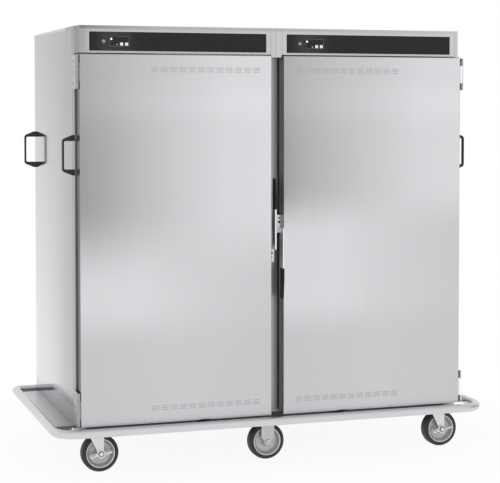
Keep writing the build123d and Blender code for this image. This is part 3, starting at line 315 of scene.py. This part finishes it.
def plain(name, level, rough=0.5, metallic=0.0, spec=0.5, grain=900.0, bump=0.1, vary=0.12, tint=(1, 1, 1), coat=0.0, dist=0.0003):
    """Moulded or painted surface with a fine grain and slight mottling."""
    M = Mat(name)
    g = M.noise((grain, grain, grain), 3.0, 0.6)
    c = M.noise((14.0, 14.0, 14.0), 4.0, 0.6)
    v = M.math("MULTIPLY", lin(level), M.math("MULTIPLY_ADD", M.math("SUBTRACT", c, 0.5), 2 * vary, 1.0))
    v = M.math("MULTIPLY", v, M.math("MULTIPLY_ADD", M.math("SUBTRACT", g, 0.5), 0.5 * vary, 1.0))
    M.set(Base_Color=M.rgb(v, tint), Metallic=metallic,
          Roughness=M.math("MULTIPLY_ADD", M.math("SUBTRACT", c, 0.5), 0.2, rough))
    M.put(M.b.inputs["Specular IOR Level"], spec)
    if coat:
        M.put(M.b.inputs["Coat Weight"], coat)
        M.put(M.b.inputs["Coat Roughness"], 0.12)
    M.bump(g, bump, dist)
    return M.m


def emissive(name, color, strength, level=235):
    M = Mat(name)
    g = M.noise((400.0, 400.0, 400.0), 2.0)
    k = M.math("MULTIPLY_ADD", g, 0.2, 0.9)
    n = M.nt.nodes.new("ShaderNodeVectorMath")
    n.operation = "SCALE"
    n.inputs[0].default_value = color
    M.put(n.inputs["Scale"], k)
    M.set(Base_Color=(lin(level), lin(level), lin(level)), Roughness=0.35)
    M.put(M.b.inputs["Emission Color"], n.outputs[0])
    M.put(M.b.inputs["Emission Strength"], strength)
    return M.m


door_l = steel("brushed_door_left", tone=door_tone("left"), rough=0.34, edge=painted_edge_shade, smudge=0.02)
door_r = steel("brushed_door_right", tone=door_tone("right"), rough=0.34, edge=painted_edge_shade, smudge=0.02)
side_m = steel("brushed_side", tone=side_tone, rough=0.10, smudge=0.02, bump=0.02)
post_m = steel("brushed_frame", tone=post_tone, rough=0.32)
top_m = steel("brushed_top", level=196, rough=0.34, grain="x")
back_m = steel("brushed_back", level=196, rough=0.32)
fascia_m = steel("brushed_fascia", tone=fascia_tone, rough=0.32, grain="x", smudge=0.02)
liner_m = steel("liner_sheet", level=192, rough=0.38, grain="z", streak=0.06)
pan_m = steel("door_pan", level=188, rough=0.36, grain="z", streak=0.06)
rail_m = steel("upright_sheet", level=180, rough=0.34)
bumper_m = steel("bumper_tube", tone=bumper_tone, rough=0.34, grain="x", streak=0.03, smudge=0.03)
plate_m = steel("bumper_plate", tone=plate_tone, rough=0.30, grain="y", streak=0.05, smudge=0.08)
chrome_m = steel("polished_chrome", level=206, rough=0.14, streak=0.01, smudge=0.02, bump=0.0)
# a brighter, rougher copy of the chrome for the levers: painted light for their bright reflection
lever_m = steel("lever_chrome_lit", level=238, rough=0.34, streak=0.01, smudge=0.02, bump=0.0)
hinge_m = steel("hinge_steel", tone=hinge_tone, rough=0.26, streak=0.03)
bolt_m = steel("bolt_steel", level=198, rough=0.22, streak=0.02)
wire_m = steel("plated_wire", level=205, rough=0.18, streak=0.02)


def zinc(name, level):
    """Bright zinc plate: faint crystalline mottling and a slight warm and cool drift."""
    M = Mat(name)
    a, b = M.voronoi((160.0, 160.0, 160.0)), M.noise((20.0, 20.0, 20.0), 4.0, 0.6)
    v = M.math("MULTIPLY", lin(level), M.math("MULTIPLY_ADD", M.math("SUBTRACT", b, 0.5), 0.22, 1.0))
    v = M.math("MULTIPLY", v, M.math("MULTIPLY_ADD", M.math("SUBTRACT", a, 0.5), 0.08, 1.0))
    M.set(Base_Color=M.mix(b, M.rgb(v, (1.0, 1.0, 1.012)), M.rgb(v, (1.0, 1.0, 0.995))), Metallic=1.0,
          Roughness=M.math("MULTIPLY_ADD", b, 0.16, 0.24))
    M.bump(b, 0.06, 0.0006)
    return M.m


zinc_m = zinc("zinc_plate", 218)
zinc_d = zinc("zinc_plate_dull", 190)
# dark paint on the base frame, kept this dark also as painted shade for the gap under the doors
frame_m = plain("frame_paint", 44, rough=0.55, bump=0.15, grain=300.0)
grip_m = plain("grip_nylon", 20, rough=0.5, bump=0.15, grain=700.0, spec=0.25)
nylon_m = plain("black_nylon", 34, rough=0.42, bump=0.18, grain=700.0, spec=0.45)
inlet_m = plain("inlet_plastic", 32, rough=0.5, bump=0.2, grain=500.0)
gasket_m = plain("gasket_rubber", 74, rough=0.62, bump=0.1, grain=260.0)
module_m = plain("controller_plastic", 34, rough=0.35, bump=0.05, grain=800.0)
cable_m = plain("cable_jacket", 120, rough=0.5, tint=(1.0, 0.28, 0.18))
# the white keys and icons are no lamps: their slight glow is painted light
key_m = emissive("key_white", (0.95, 0.98, 1.0), 0.30, 200)
mark_m = emissive("icon_white_painted_glow", (0.95, 0.98, 1.0), 0.22, 190)
led_m = emissive("indicator", (0.93, 0.97, 1.0), 1.1)
arrow_m = plain("icon_dark", 60, rough=0.5, bump=0.0)
ring_m = steel("rim_ring", level=214, rough=0.24, streak=0.02)


def overlay():
    """Printed polyester strip: gloss black with a painted sheen, a soft highlight, towards its left end."""
    M = Mat("overlay_gloss")
    c = M.noise((9.0, 9.0, 9.0), 3.0, 0.5)
    g = M.noise((900.0, 900.0, 900.0), 2.0)
    u = M.math("ADD", M.x, M.range(M.x, -0.02, 0.0, 0.778, -0.044, "LINEAR"))
    painted_sheen = M.math("MULTIPLY", M.range(u, 0.012, 0.07), M.range(u, 0.22, 0.09))
    v = M.math("MULTIPLY_ADD", painted_sheen, lin(52) - lin(28), lin(28))
    v = M.math("MULTIPLY", v, M.math("MULTIPLY_ADD", M.math("SUBTRACT", c, 0.5), 0.12, 1.0))
    M.set(Base_Color=M.rgb(v, (1.02, 0.98, 1.02)), Roughness=M.math("MULTIPLY_ADD", c, 0.08, 0.22))
    M.put(M.b.inputs["Specular IOR Level"], 0.22)
    M.bump(g, 0.03, 0.0001)
    return M.m


overlay_m = overlay()


def glass_black():
    M = Mat("display_glass")
    c = M.noise((60.0, 60.0, 60.0), 2.0)
    M.set(Base_Color=M.rgb(M.math("MULTIPLY_ADD", c, 0.006, 0.006), (1.05, 0.95, 1.0)), Roughness=0.08)
    M.put(M.b.inputs["Specular IOR Level"], 0.3)
    return M.m


display_m = glass_black()


def tyre():
    """Rubber with fine radial scuffs on the tread and a dusty sidewall."""
    M = Mat("tyre_rubber")
    g = M.noise((650.0, 650.0, 650.0), 4.0, 0.65)
    c = M.noise((28.0, 28.0, 28.0), 4.0, 0.6)
    v = M.math("MULTIPLY", lin(46), M.math("MULTIPLY_ADD", M.math("SUBTRACT", c, 0.5), 0.5, 1.0))
    v = M.math("MULTIPLY", v, M.math("MULTIPLY_ADD", M.math("SUBTRACT", g, 0.5), 0.35, 1.0))
    M.set(Base_Color=M.rgb(v, (1.0, 0.99, 0.98)), Roughness=M.math("MULTIPLY_ADD", c, 0.22, 0.46))
    M.put(M.b.inputs["Specular IOR Level"], 0.4)
    M.bump(g, 0.22, 0.0005)
    return M.m


def core(name, level):
    """Pressed wheel core with faint mottling."""
    M = Mat(name)
    g = M.noise((400.0, 400.0, 400.0), 3.0)
    c = M.noise((30.0, 30.0, 30.0), 3.0)
    v = M.math("MULTIPLY", lin(level), M.math("MULTIPLY_ADD", M.math("SUBTRACT", c, 0.5), 0.25, 1.0))
    M.set(Base_Color=M.rgb(v, (0.99, 1.0, 1.02)), Metallic=0.55,
          Roughness=M.math("MULTIPLY_ADD", g, 0.12, 0.34))
    M.bump(g, 0.06, 0.0004)
    return M.m


tyre_m, core_m = tyre(), core("wheel_core", 182)


def wool():
    M = Mat("glass_wool")
    n = M.noise((120.0, 120.0, 30.0), 6.0, 0.7, 0.8)
    M.set(Base_Color=M.mix(n, (0.52, 0.45, 0.22), (0.78, 0.72, 0.48)), Roughness=0.95)
    M.bump(n, 0.6, 0.003)
    return M.m


wool_m = wool()

ASSIGN = {
    "base_frame": frame_m, "bumper_rail": bumper_m, "bumper_plates": plate_m, "side_panels": side_m,
    "top_panel": top_m, "back_panel": back_m, "face_frame": post_m, "cavity_liners": liner_m,
    "cabinet_insulation": wool_m, "heater_cables": cable_m, "shelf_uprights": rail_m, "wire_shelves": wire_m,
    "fascia_housing": fascia_m, "control_overlays": overlay_m, "controller_modules": module_m,
    "push_handles": nylon_m, "frame_hinges_and_strikes": hinge_m, "caster_mounts": zinc_d,
    "fasteners": bolt_m, "power_inlet": inlet_m,
    "door_skin_left": door_l, "door_skin_right": door_r,
}
PREFIX = (
    ("door_liner_", pan_m), ("door_insulation_", wool_m), ("door_gasket_", gasket_m), ("hinge_door_leaves_", hinge_m),
    ("latch_base_", chrome_m), ("latch_lever_", lever_m), ("latch_grip_", grip_m), ("caster_fork_", zinc_m),
    ("brake_lever_", zinc_m), ("wheel_core_", core_m), ("tyre_", tyre_m), ("key_down_", key_m), ("key_up_", key_m),
    ("key_power_", module_m),
)


def give(o, m):
    if not o.material_slots:
        o.data.materials.append(m)
    for s in o.material_slots:
        s.material = m


for n, o in NODES.items():
    m = ASSIGN.get(n) or next(mm for p, mm in PREFIX if n.startswith(p))
    give(o, m)
    o.data.polygons.foreach_set("use_smooth", [True] * len(o.data.polygons))
    o.data.set_sharp_from_angle(angle=math.radians(32))


# ---------------------------------------------------------------------------
# mesh helpers
# ---------------------------------------------------------------------------
def finish_mesh(name, bm, mat, body, smooth=35.0, bevel=0.0):
    bmesh.ops.recalc_face_normals(bm, faces=bm.faces)
    if bevel:
        edges = [e for e in bm.edges if len(e.link_faces) == 2 and e.calc_face_angle(0) > math.radians(50)]
        bmesh.ops.bevel(bm, geom=edges, offset=bevel, segments=2, profile=0.6, affect="EDGES", clamp_overlap=True)
    me = bpy.data.meshes.new(name)
    bm.to_mesh(me)
    bm.free()
    o = bpy.data.objects.new(name, me)
    SCN.collection.objects.link(o)
    me.materials.append(mat)
    me.polygons.foreach_set("use_smooth", [True] * len(me.polygons))
    me.set_sharp_from_angle(angle=math.radians(smooth))
    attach(o, body)
    return o


def frame_of(axis):
    """Two unit vectors square to the axis, and the axis."""
    w = Vector(axis).normalized()
    u = Vector((0, 0, 1)) if abs(w.z) < 0.9 else Vector((1, 0, 0))
    u = (u - w * u.dot(w)).normalized()
    return u, w.cross(u), w


def lathe(bm, profile, centre, axis, segs=48):
    """Closed ring or disc from (radius, height) points, turned about an axis."""
    u, v, w = frame_of(axis)
    c = Vector(centre)
    rings = []
    for r, h in profile:
        if r < 1e-7:
            rings.append([bm.verts.new(c + w * h)])
        else:
            rings.append([bm.verts.new(c + w * h + (u * math.cos(2 * math.pi * i / segs) + v * math.sin(2 * math.pi * i / segs)) * r)
                          for i in range(segs)])
    for a, b in zip(rings, rings[1:]):
        for i in range(segs):
            j = (i + 1) % segs
            if len(a) == 1 and len(b) == 1:
                continue
            if len(a) == 1:
                bm.faces.new((a[0], b[i], b[j]))
            elif len(b) == 1:
                bm.faces.new((a[i], a[j], b[0]))
            else:
                bm.faces.new((a[i], a[j], b[j], b[i]))


def tube(bm, pts, r, segs=10, closed=False):
    """Round bar along points, with flat ends."""
    pts = [Vector(p) for p in pts]
    n = len(pts)
    rings = []
    up = None
    for i, p in enumerate(pts):
        a = pts[i - 1] if (i > 0 or closed) else p
        b = pts[(i + 1) % n] if (i < n - 1 or closed) else p
        d = (b - a).normalized()
        if up is None:
            up = frame_of(d)[0]
        up = (up - d * up.dot(d)).normalized()
        s = d.cross(up)
        rings.append([bm.verts.new(p + (up * math.cos(2 * math.pi * k / segs) + s * math.sin(2 * math.pi * k / segs)) * r)
                      for k in range(segs)])
    pairs = list(zip(rings, rings[1:])) + ([(rings[-1], rings[0])] if closed else [])
    for a, b in pairs:
        for k in range(segs):
            j = (k + 1) % segs
            bm.faces.new((a[k], a[j], b[j], b[k]))
    if not closed:
        bm.faces.new(rings[0])
        bm.faces.new(rings[-1][::-1])


def outline_prism(bm, pts, origin, ux, uy, depth):
    """Solid from a closed outline (in ux, uy) pushed along depth (a vector)."""
    o, ux, uy, d = Vector(origin), Vector(ux), Vector(uy), Vector(depth)
    a = [bm.verts.new(o + ux * p[0] + uy * p[1]) for p in pts]
    b = [bm.verts.new(v.co + d) for v in a]
    bm.faces.new(a)
    bm.faces.new(b[::-1])
    n = len(pts)
    for i in range(n):
        j = (i + 1) % n
        bm.faces.new((a[i], b[i], b[j], a[j]))


def rrect(w, h, r, n=5, cx=0.0, cy=0.0):
    pts = []
    for sx, sy, a0 in ((1, 1, 0), (-1, 1, 90), (-1, -1, 180), (1, -1, 270)):
        for k in range(n + 1):
            a = math.radians(a0 + 90.0 * k / n)
            pts.append((cx + sx * (w / 2 - r) + r * math.cos(a), cy + sy * (h / 2 - r) + r * math.sin(a)))
    return pts


X, Y, Z = Vector((1, 0, 0)), Vector((0, 1, 0)), Vector((0, 0, 1))
SIDES = (("left", -1.0), ("right", 1.0))

# ---------------------------------------------------------------------------
# controls
# ---------------------------------------------------------------------------
STRIP = {"left": -0.778, "right": 0.044}
SLEN = 0.734
border_m = plain("module_edge", 104, rough=0.4, bump=0.0)
bezel_m = steel("strip_bezel", level=212, rough=0.24, grain="x", streak=0.02)
CZ = 1.738
for side, x0 in STRIP.items():
    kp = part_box("key_power_" + side)
    face = kp[0].y
    cx = (kp[0].x + kp[1].x) / 2
    # power symbol: open ring with a bar
    bm = bmesh.new()
    r0, r1, n = 0.0040, 0.0056, 28
    outer, inner = [], []
    for k in range(n + 1):
        a = math.radians(125 + 290 * k / n)
        outer.append((r1 * math.cos(a), r1 * math.sin(a)))
        inner.append((r0 * math.cos(a), r0 * math.sin(a)))
    pts = outer + inner[::-1]
    o_, ux, uy, d = Vector((cx, face, CZ)), X, Z, Vector((0, -0.00025, 0))
    va = [bm.verts.new(o_ + ux * p[0] + uy * p[1]) for p in pts]
    vb = [bm.verts.new(v.co + d) for v in va]
    m_ = n + 1
    for k in range(n):
        i0, i1, j0, j1 = k, k + 1, 2 * m_ - 1 - k, 2 * m_ - 2 - k
        bm.faces.new((va[i0], va[i1], va[j1], va[j0]))
        bm.faces.new((vb[i0], vb[j0], vb[j1], vb[i1]))
        bm.faces.new((va[i0], vb[i0], vb[i1], va[i1]))
        bm.faces.new((va[j0], va[j1], vb[j1], vb[j0]))
    for i0, j0 in ((0, 2 * m_ - 1), (n, m_)):
        bm.faces.new((va[i0], va[j0], vb[j0], vb[i0]))
    outline_prism(bm, rrect(0.0016, 0.0058, 0.0006, 3, 0.0, 0.0042), o_, ux, uy, d)
    finish_mesh("power_symbol_" + side, bm, mark_m, "key_power_" + side, 40)
    # arrows on the two keys
    for kn, s in (("down", -1.0), ("up", 1.0)):
        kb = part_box(f"key_{kn}_{side}")
        c = (kb[0] + kb[1]) / 2
        bm = bmesh.new()
        tri = [(-0.0026, -0.0014 * s), (0.0026, -0.0014 * s), (0.0, 0.0022 * s)]
        outline_prism(bm, tri if s > 0 else tri[::-1], (c.x, kb[0].y, c.z), X, Z, (0, -0.0002, 0))
        finish_mesh(f"arrow_{kn}_{side}", bm, arrow_m, f"key_{kn}_{side}", 40)
    # display glass, indicator and small marks
    cm = x0 + 0.121
    wy = -0.4597
    bm = bmesh.new()
    outline_prism(bm, rrect(0.0672, 0.0192, 0.0015, 4, 0.003, 0.0078), (cm, wy, CZ), X, Z, (0, -0.0008, 0))
    outline_prism(bm, rrect(0.0352, 0.0132, 0.0012, 4, -0.019, -0.0096), (cm, wy, CZ), X, Z, (0, -0.0008, 0))
    finish_mesh("display_glass_" + side, bm, display_m, "cabinet", 40, bevel=0.0002)
    bm = bmesh.new()
    lathe(bm, [(0, 0.0), (0.0034, 0.0), (0.0034, 0.0004), (0.0026, 0.0009), (0, 0.0011)], (x0 + 0.0885, wy - 0.0008, CZ + 0.0092), (0, -1, 0), 24)
    finish_mesh("indicator_" + side, bm, led_m, "cabinet", 50)
    bm = bmesh.new()
    outline_prism(bm, rrect(0.0044, 0.0030, 0.0008, 3), (x0 + 0.1115, wy - 0.0008, CZ - 0.0125), X, Z, (0, -0.0003, 0))
    finish_mesh("small_mark_" + side, bm, mark_m, "cabinet", 40)
    # thin light border round the module
    bm = bmesh.new()
    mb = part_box("controller_modules")
    fr = mb[0].y
    for (w, h), (px, pz) in (((0.0800, 0.0009), (0.0, 0.0196)), ((0.0800, 0.0009), (0.0, -0.0196)),
                             ((0.0009, 0.0392), (0.0396, 0.0)), ((0.0009, 0.0392), (-0.0396, 0.0))):
        outline_prism(bm, rrect(w, h, 0.0003, 2, px, pz), (cm, fr, CZ), X, Z, (0, -0.00012, 0))
    finish_mesh("module_border_" + side, bm, border_m, "cabinet", 40)
    # polished bezel that frames the strip
    bm = bmesh.new()
    ring = []
    for grow, yy in ((0.0002, -0.4572), (0.0002, -0.4588), (0.0009, -0.4592), (0.0021, -0.4592), (0.0027, -0.4588), (0.0027, -0.4572)):
        loop = [bm.verts.new((x0 + SLEN / 2 + px, yy, CZ + pz)) for px, pz in rrect(SLEN + 2 * grow, 0.076 + 2 * grow, 0.0015 + grow, 5)]
        ring.append(loop)
    ring.append(ring[0])
    for a_, b_ in zip(ring, ring[1:]):
        for k in range(len(a_)):
            j = (k + 1) % len(a_)
            bm.faces.new((a_[k], a_[j], b_[j], b_[k]))
    finish_mesh("strip_bezel_" + side, bm, bezel_m, "cabinet", 40)

# ---------------------------------------------------------------------------
# wiper strip on the top edge of each door
# ---------------------------------------------------------------------------
for side, s in SIDES:
    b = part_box("door_skin_" + side)
    bm = bmesh.new()
    xa, xb = sorted((b[0].x, b[1].x))
    outline_prism(bm, [(-0.005, 0.0), (0.005, 0.0), (0.0036, 0.0024), (-0.0036, 0.0024)], (xa + 0.004, -0.466, b[1].z - 0.0002), Y, Z, (xb - xa - 0.008, 0, 0))
    finish_mesh("door_wiper_" + side, bm, gasket_m, "door_" + side, 40)

# ---------------------------------------------------------------------------
# vent baffles behind the door slits
# ---------------------------------------------------------------------------
baffle_m = steel("vent_baffle", level=186, rough=0.4)
for side, s in SIDES:
    bm = bmesh.new()
    for zc in (1.687 - 0.0595, 0.215 + 0.0595):
        cx = s * (0.026 + 0.052 + 0.014 + 11 * 0.0387 / 2)
        outline_prism(bm, rrect(0.480, 0.034, 0.002, 3), (cx, -0.4742, zc), X, Z, (0, 0.0008, 0))
    finish_mesh("vent_baffle_" + side, bm, baffle_m, "door_" + side, 40)

# ---------------------------------------------------------------------------
# wheels: rim rings, hub rings and moulded lines on the tread's shoulders
# ---------------------------------------------------------------------------
WHEELS = ["front_left", "front_right", "rear_left", "rear_right", "front_middle", "rear_middle"]
R = 0.0762
for w in WHEELS:
    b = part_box("tyre_" + w)
    c = (b[0] + b[1]) / 2
    bm = bmesh.new()
    for s in (-1, 1):
        lathe(bm, [(0.0565, 0.0222), (0.0600, 0.0222), (0.0604, 0.0230), (0.0600, 0.0240), (0.0588, 0.0246), (0.0572, 0.0244),
                   (0.0562, 0.0236), (0.0565, 0.0222)], (c.x, c.y, R), (0, s, 0), 72)
    finish_mesh("rim_ring_" + w, bm, ring_m, "wheel_" + w, 60)
    bm = bmesh.new()
    for s in (-1, 1):
        # step ring and bearing seal on the hub
        lathe(bm, [(0.0125, 0.0272), (0.0205, 0.0140), (0.0212, 0.0132), (0.0216, 0.0118), (0.0226, 0.0104), (0.0215, 0.0098),
                   (0.0190, 0.0120), (0.0125, 0.0250), (0.0125, 0.0272)], (c.x, c.y, R), (0, s, 0), 48)
    finish_mesh("hub_ring_" + w, bm, core_m, "wheel_" + w, 60)
    # moulded lines on the tread's shoulders
    bm = bmesh.new()
    for s in (-1, 1):
        for rr, hh in ((0.0668, 0.02485), (0.0636, 0.02495)):
            lathe(bm, [(rr - 0.0005, hh - 0.0006), (rr + 0.0005, hh - 0.0006), (rr + 0.0003, hh + 0.0001), (rr - 0.0003, hh + 0.0001), (rr - 0.0005, hh - 0.0006)],
                  (c.x, c.y, R), (0, s, 0), 72)
    finish_mesh("sidewall_lines_" + w, bm, tyre_m, "wheel_" + w, 60)

# ---------------------------------------------------------------------------
# stainless gussets that close the ends of the base frame's front rail
# ---------------------------------------------------------------------------
gusset_m = steel("gusset_sheet", tone=gusset_tone, rough=0.34, grain="x")
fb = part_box("base_frame")
for side, s in SIDES:
    xa, xb = sorted((s * 0.782, s * 0.8345))
    yf = fb[0].y
    bm = bmesh.new()
    outline_prism(bm, rrect(xb - xa, 0.030, 0.002, 3), ((xa + xb) / 2, yf - 0.0016, 0.1845), X, Z, (0, 0.0014, 0))
    xe = s * 0.8338
    outline_prism(bm, rrect(0.046, 0.030, 0.002, 3), (xe, yf + 0.0215, 0.1845), Y, Z, (0.0012 * -s, 0, 0))
    finish_mesh("corner_gusset_" + side, bm, gusset_m, "cabinet", 40)

# ---------------------------------------------------------------------------
# painted shadow: dark rings round the axle bolts of the braked casters, in place of the shade round the hub
# ---------------------------------------------------------------------------
hub_shadow_m = plain("hub_shadow", 58, rough=0.4, metallic=0.5, bump=0.05)
for side, s in SIDES:
    w = "front_" + side
    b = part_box("tyre_" + w)
    c = (b[0] + b[1]) / 2
    yf = c.y - 0.0399       # front of the washer that the bolt head sits on
    bm = bmesh.new()
    lathe(bm, [(0.0092, -0.0002), (0.0122, -0.0002), (0.0122, 0.0008), (0.0114, 0.0013), (0.0096, 0.0013), (0.0092, 0.0008), (0.0092, -0.0002)],
          (c.x, yf, R), (0, -1, 0), 40)
    finish_mesh("bolt_hub_shadow_" + w, bm, hub_shadow_m, "swivel_" + w, 40)

# ---------------------------------------------------------------------------
# latch screws
# ---------------------------------------------------------------------------
screw_dark = plain("screw_dark", 46, rough=0.35, metallic=0.6, bump=0.05)


def screw(bm, c, axis, r=0.004, h=0.0022):
    """Domed screw head."""
    lathe(bm, [(0, -0.0002), (r, -0.0002), (r, h * 0.35), (r * 0.86, h * 0.75), (r * 0.55, h), (r * 0.5, h * 0.72), (0, h * 0.6)], c, axis, 28)


LATCH_X = {"left": (-0.0175, 0.8790, 1.0), "right": (0.0150, 1.0065, -1.0)}
for side, (lx, lz, up) in LATCH_X.items():
    fy = -0.448
    bm = bmesh.new()
    screw(bm, (lx, fy, lz), (0, -1, 0), 0.0052, 0.0026)
    screw(bm, (lx, fy, lz - up * 0.0170), (0, -1, 0), 0.0034, 0.0018)
    finish_mesh("latch_screws_" + side, bm, screw_dark, "door_" + side, 60)

# ---------------------------------------------------------------------------
# wire shelves in round wire
# ---------------------------------------------------------------------------
cell = {"left": -0.417, "right": 0.417}
SW, SD, SCY = 0.702, 0.780, 0.012
bm = bmesh.new()
for side, cx in cell.items():
    for z in (0.600, 0.952, 1.304):
        c = 0.012
        loop = []
        for px, py in rrect(SW - 0.006, SD - 0.006, 0.012, 5):
            loop.append((cx + px, SCY + py, z))
        tube(bm, loop, 0.003, 8, closed=True)
        for yy in (-0.13, 0.13):
            tube(bm, [(cx - SW / 2 + 0.003, SCY + yy, z), (cx + SW / 2 - 0.003, SCY + yy, z)], 0.003, 8)
        n = 27
        for k in range(n):
            x = cx - (SW - 0.03) / 2 + (SW - 0.03) * k / (n - 1)
            y0, y1 = SCY - SD / 2 + 0.003, SCY + SD / 2 - 0.003
            tube(bm, [(x, y0, z + 0.001), (x, y0 + 0.001, z + 0.0046), (x, y0 + 0.006, z + 0.0049), (x, y1 - 0.006, z + 0.0049),
                      (x, y1 - 0.001, z + 0.0046), (x, y1, z + 0.001)], 0.0019, 8)
o = finish_mesh("round_wire_shelves", bm, wire_m, "cabinet", 50)
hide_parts("wire_shelves")

# ---------------------------------------------------------------------------
# floor, light, camera
# ---------------------------------------------------------------------------
bm = bmesh.new()
S, N = 30.0, 24
grid = [[bm.verts.new((-S + 2 * S * i / N, -S + 2 * S * j / N, -0.0004)) for j in range(N + 1)] for i in range(N + 1)]
for i in range(N):
    for j in range(N):
        bm.faces.new((grid[i][j], grid[i + 1][j], grid[i + 1][j + 1], grid[i][j + 1]))
me = bpy.data.meshes.new("studio_floor")
bm.to_mesh(me)
bm.free()
floor = bpy.data.objects.new("studio_floor", me)
SCN.collection.objects.link(floor)
FM = Mat("floor_paper")
d = FM.math("SQRT", FM.math("ADD", FM.math("MULTIPLY", FM.x, FM.x), FM.math("MULTIPLY", FM.y, FM.y)))
n = FM.noise((3.0, 3.0, 3.0), 3.0)
FM.set(Base_Color=FM.rgb(FM.math("MULTIPLY_ADD", n, 0.01, 0.90)), Roughness=0.9)
FM.put(FM.b.inputs["Specular IOR Level"], 0.0)
em = FM.nt.nodes.new("ShaderNodeEmission")
em.inputs[0].default_value = (1, 1, 1, 1)
em.inputs[1].default_value = 1.0
mx = FM.nt.nodes.new("ShaderNodeMixShader")
FM.put(mx.inputs[0], FM.range(d, 1.10, 1.9, 0.93, 1.0))
FM.nt.links.new(FM.b.outputs[0], mx.inputs[1])
FM.nt.links.new(em.outputs[0], mx.inputs[2])
FM.nt.links.new(mx.outputs[0], FM.out.inputs[0])
me.materials.append(FM.m)

world = bpy.data.worlds.new("studio")
SCN.world = world
world.use_nodes = True
nt = world.node_tree
nt.nodes.clear()
out = nt.nodes.new("ShaderNodeOutputWorld")
bg_cam = nt.nodes.new("ShaderNodeBackground")
bg_cam.inputs[0].default_value = (1, 1, 1, 1)
bg_cam.inputs[1].default_value = 1.0
bg = nt.nodes.new("ShaderNodeBackground")
lp = nt.nodes.new("ShaderNodeLightPath")
mixs = nt.nodes.new("ShaderNodeMixShader")
nt.links.new(lp.outputs["Is Camera Ray"], mixs.inputs[0])
nt.links.new(bg.outputs[0], mixs.inputs[1])
nt.links.new(bg_cam.outputs[0], mixs.inputs[2])
nt.links.new(mixs.outputs[0], out.inputs[0])
tc = nt.nodes.new("ShaderNodeTexCoord")
sp = nt.nodes.new("ShaderNodeSeparateXYZ")
nt.links.new(tc.outputs["Generated"], sp.inputs[0])
ra = nt.nodes.new("ShaderNodeValToRGB")
ra.color_ramp.interpolation = "EASE"
el = ra.color_ramp.elements
el[0].position, el[0].color = 0.0, (0.85, 0.85, 0.86, 1)
el[1].position, el[1].color = 1.0, (0.72, 0.73, 0.75, 1)
e = el.new(0.45); e.color = (1.0, 1.0, 1.0, 1)
e = el.new(0.68); e.color = (1.0, 1.0, 1.0, 1)
mr = nt.nodes.new("ShaderNodeMapRange")
for i, v in enumerate((-1.0, 1.0, 0.0, 1.0)):
    mr.inputs[i + 1].default_value = v
nt.links.new(sp.outputs[2], mr.inputs[0])
nt.links.new(mr.outputs[0], ra.inputs[0])
# a darker band of the studio to the right, which gives round metal its contrast
dt = nt.nodes.new("ShaderNodeVectorMath")
dt.operation = "DOT_PRODUCT"
nt.links.new(tc.outputs["Generated"], dt.inputs[0])
dt.inputs[1].default_value = (0.93, -0.30, 0.0)
mr2 = nt.nodes.new("ShaderNodeMapRange")
mr2.interpolation_type = "SMOOTHSTEP"
for i, v in enumerate((0.72, 0.96, 1.0, 0.35)):
    mr2.inputs[i + 1].default_value = v
nt.links.new(dt.outputs["Value"], mr2.inputs[0])
mm = nt.nodes.new("ShaderNodeVectorMath")
mm.operation = "SCALE"
nt.links.new(ra.outputs[0], mm.inputs[0])
nt.links.new(mr2.outputs[0], mm.inputs["Scale"])
nt.links.new(mm.outputs[0], bg.inputs[0])
bg.inputs[1].default_value = 1.0


def area(name, loc, target, size, size_y, power):
    l = bpy.data.lights.new(name, "AREA")
    l.shape = "RECTANGLE"
    l.size, l.size_y, l.energy = size, size_y, power
    o = bpy.data.objects.new(name, l)
    o.location = loc
    o.rotation_mode = "QUATERNION"
    o.rotation_quaternion = (Vector(target) - Vector(loc)).to_track_quat("-Z", "Y")
    o.visible_glossy = False
    SCN.collection.objects.link(o)
    return o


area("softbox_key", (-3.2, -4.2, 3.6), (0, 0, 0.8), 3.0, 2.4, 60.0)
area("softbox_fill", (3.4, -3.6, 2.6), (0, 0, 0.8), 2.4, 2.4, 25.0)

SCN.view_settings.view_transform = "Standard"
SCN.view_settings.look = "None"

camd = bpy.data.cameras.new("camera")
cam = bpy.data.objects.new("camera", camd)
SCN.collection.objects.link(cam)
camd.sensor_width = 36.0
camd.lens = 1502.2 / 500.0 * 36.0
camd.shift_y = -0.15
camd.clip_end = 200.0
cam.location = (-2.0211, -6.2655, 1.4836)
cam.rotation_euler = (math.radians(90.0 - 2.312), 0.0, math.radians(-18.181))
SCN.camera = cam
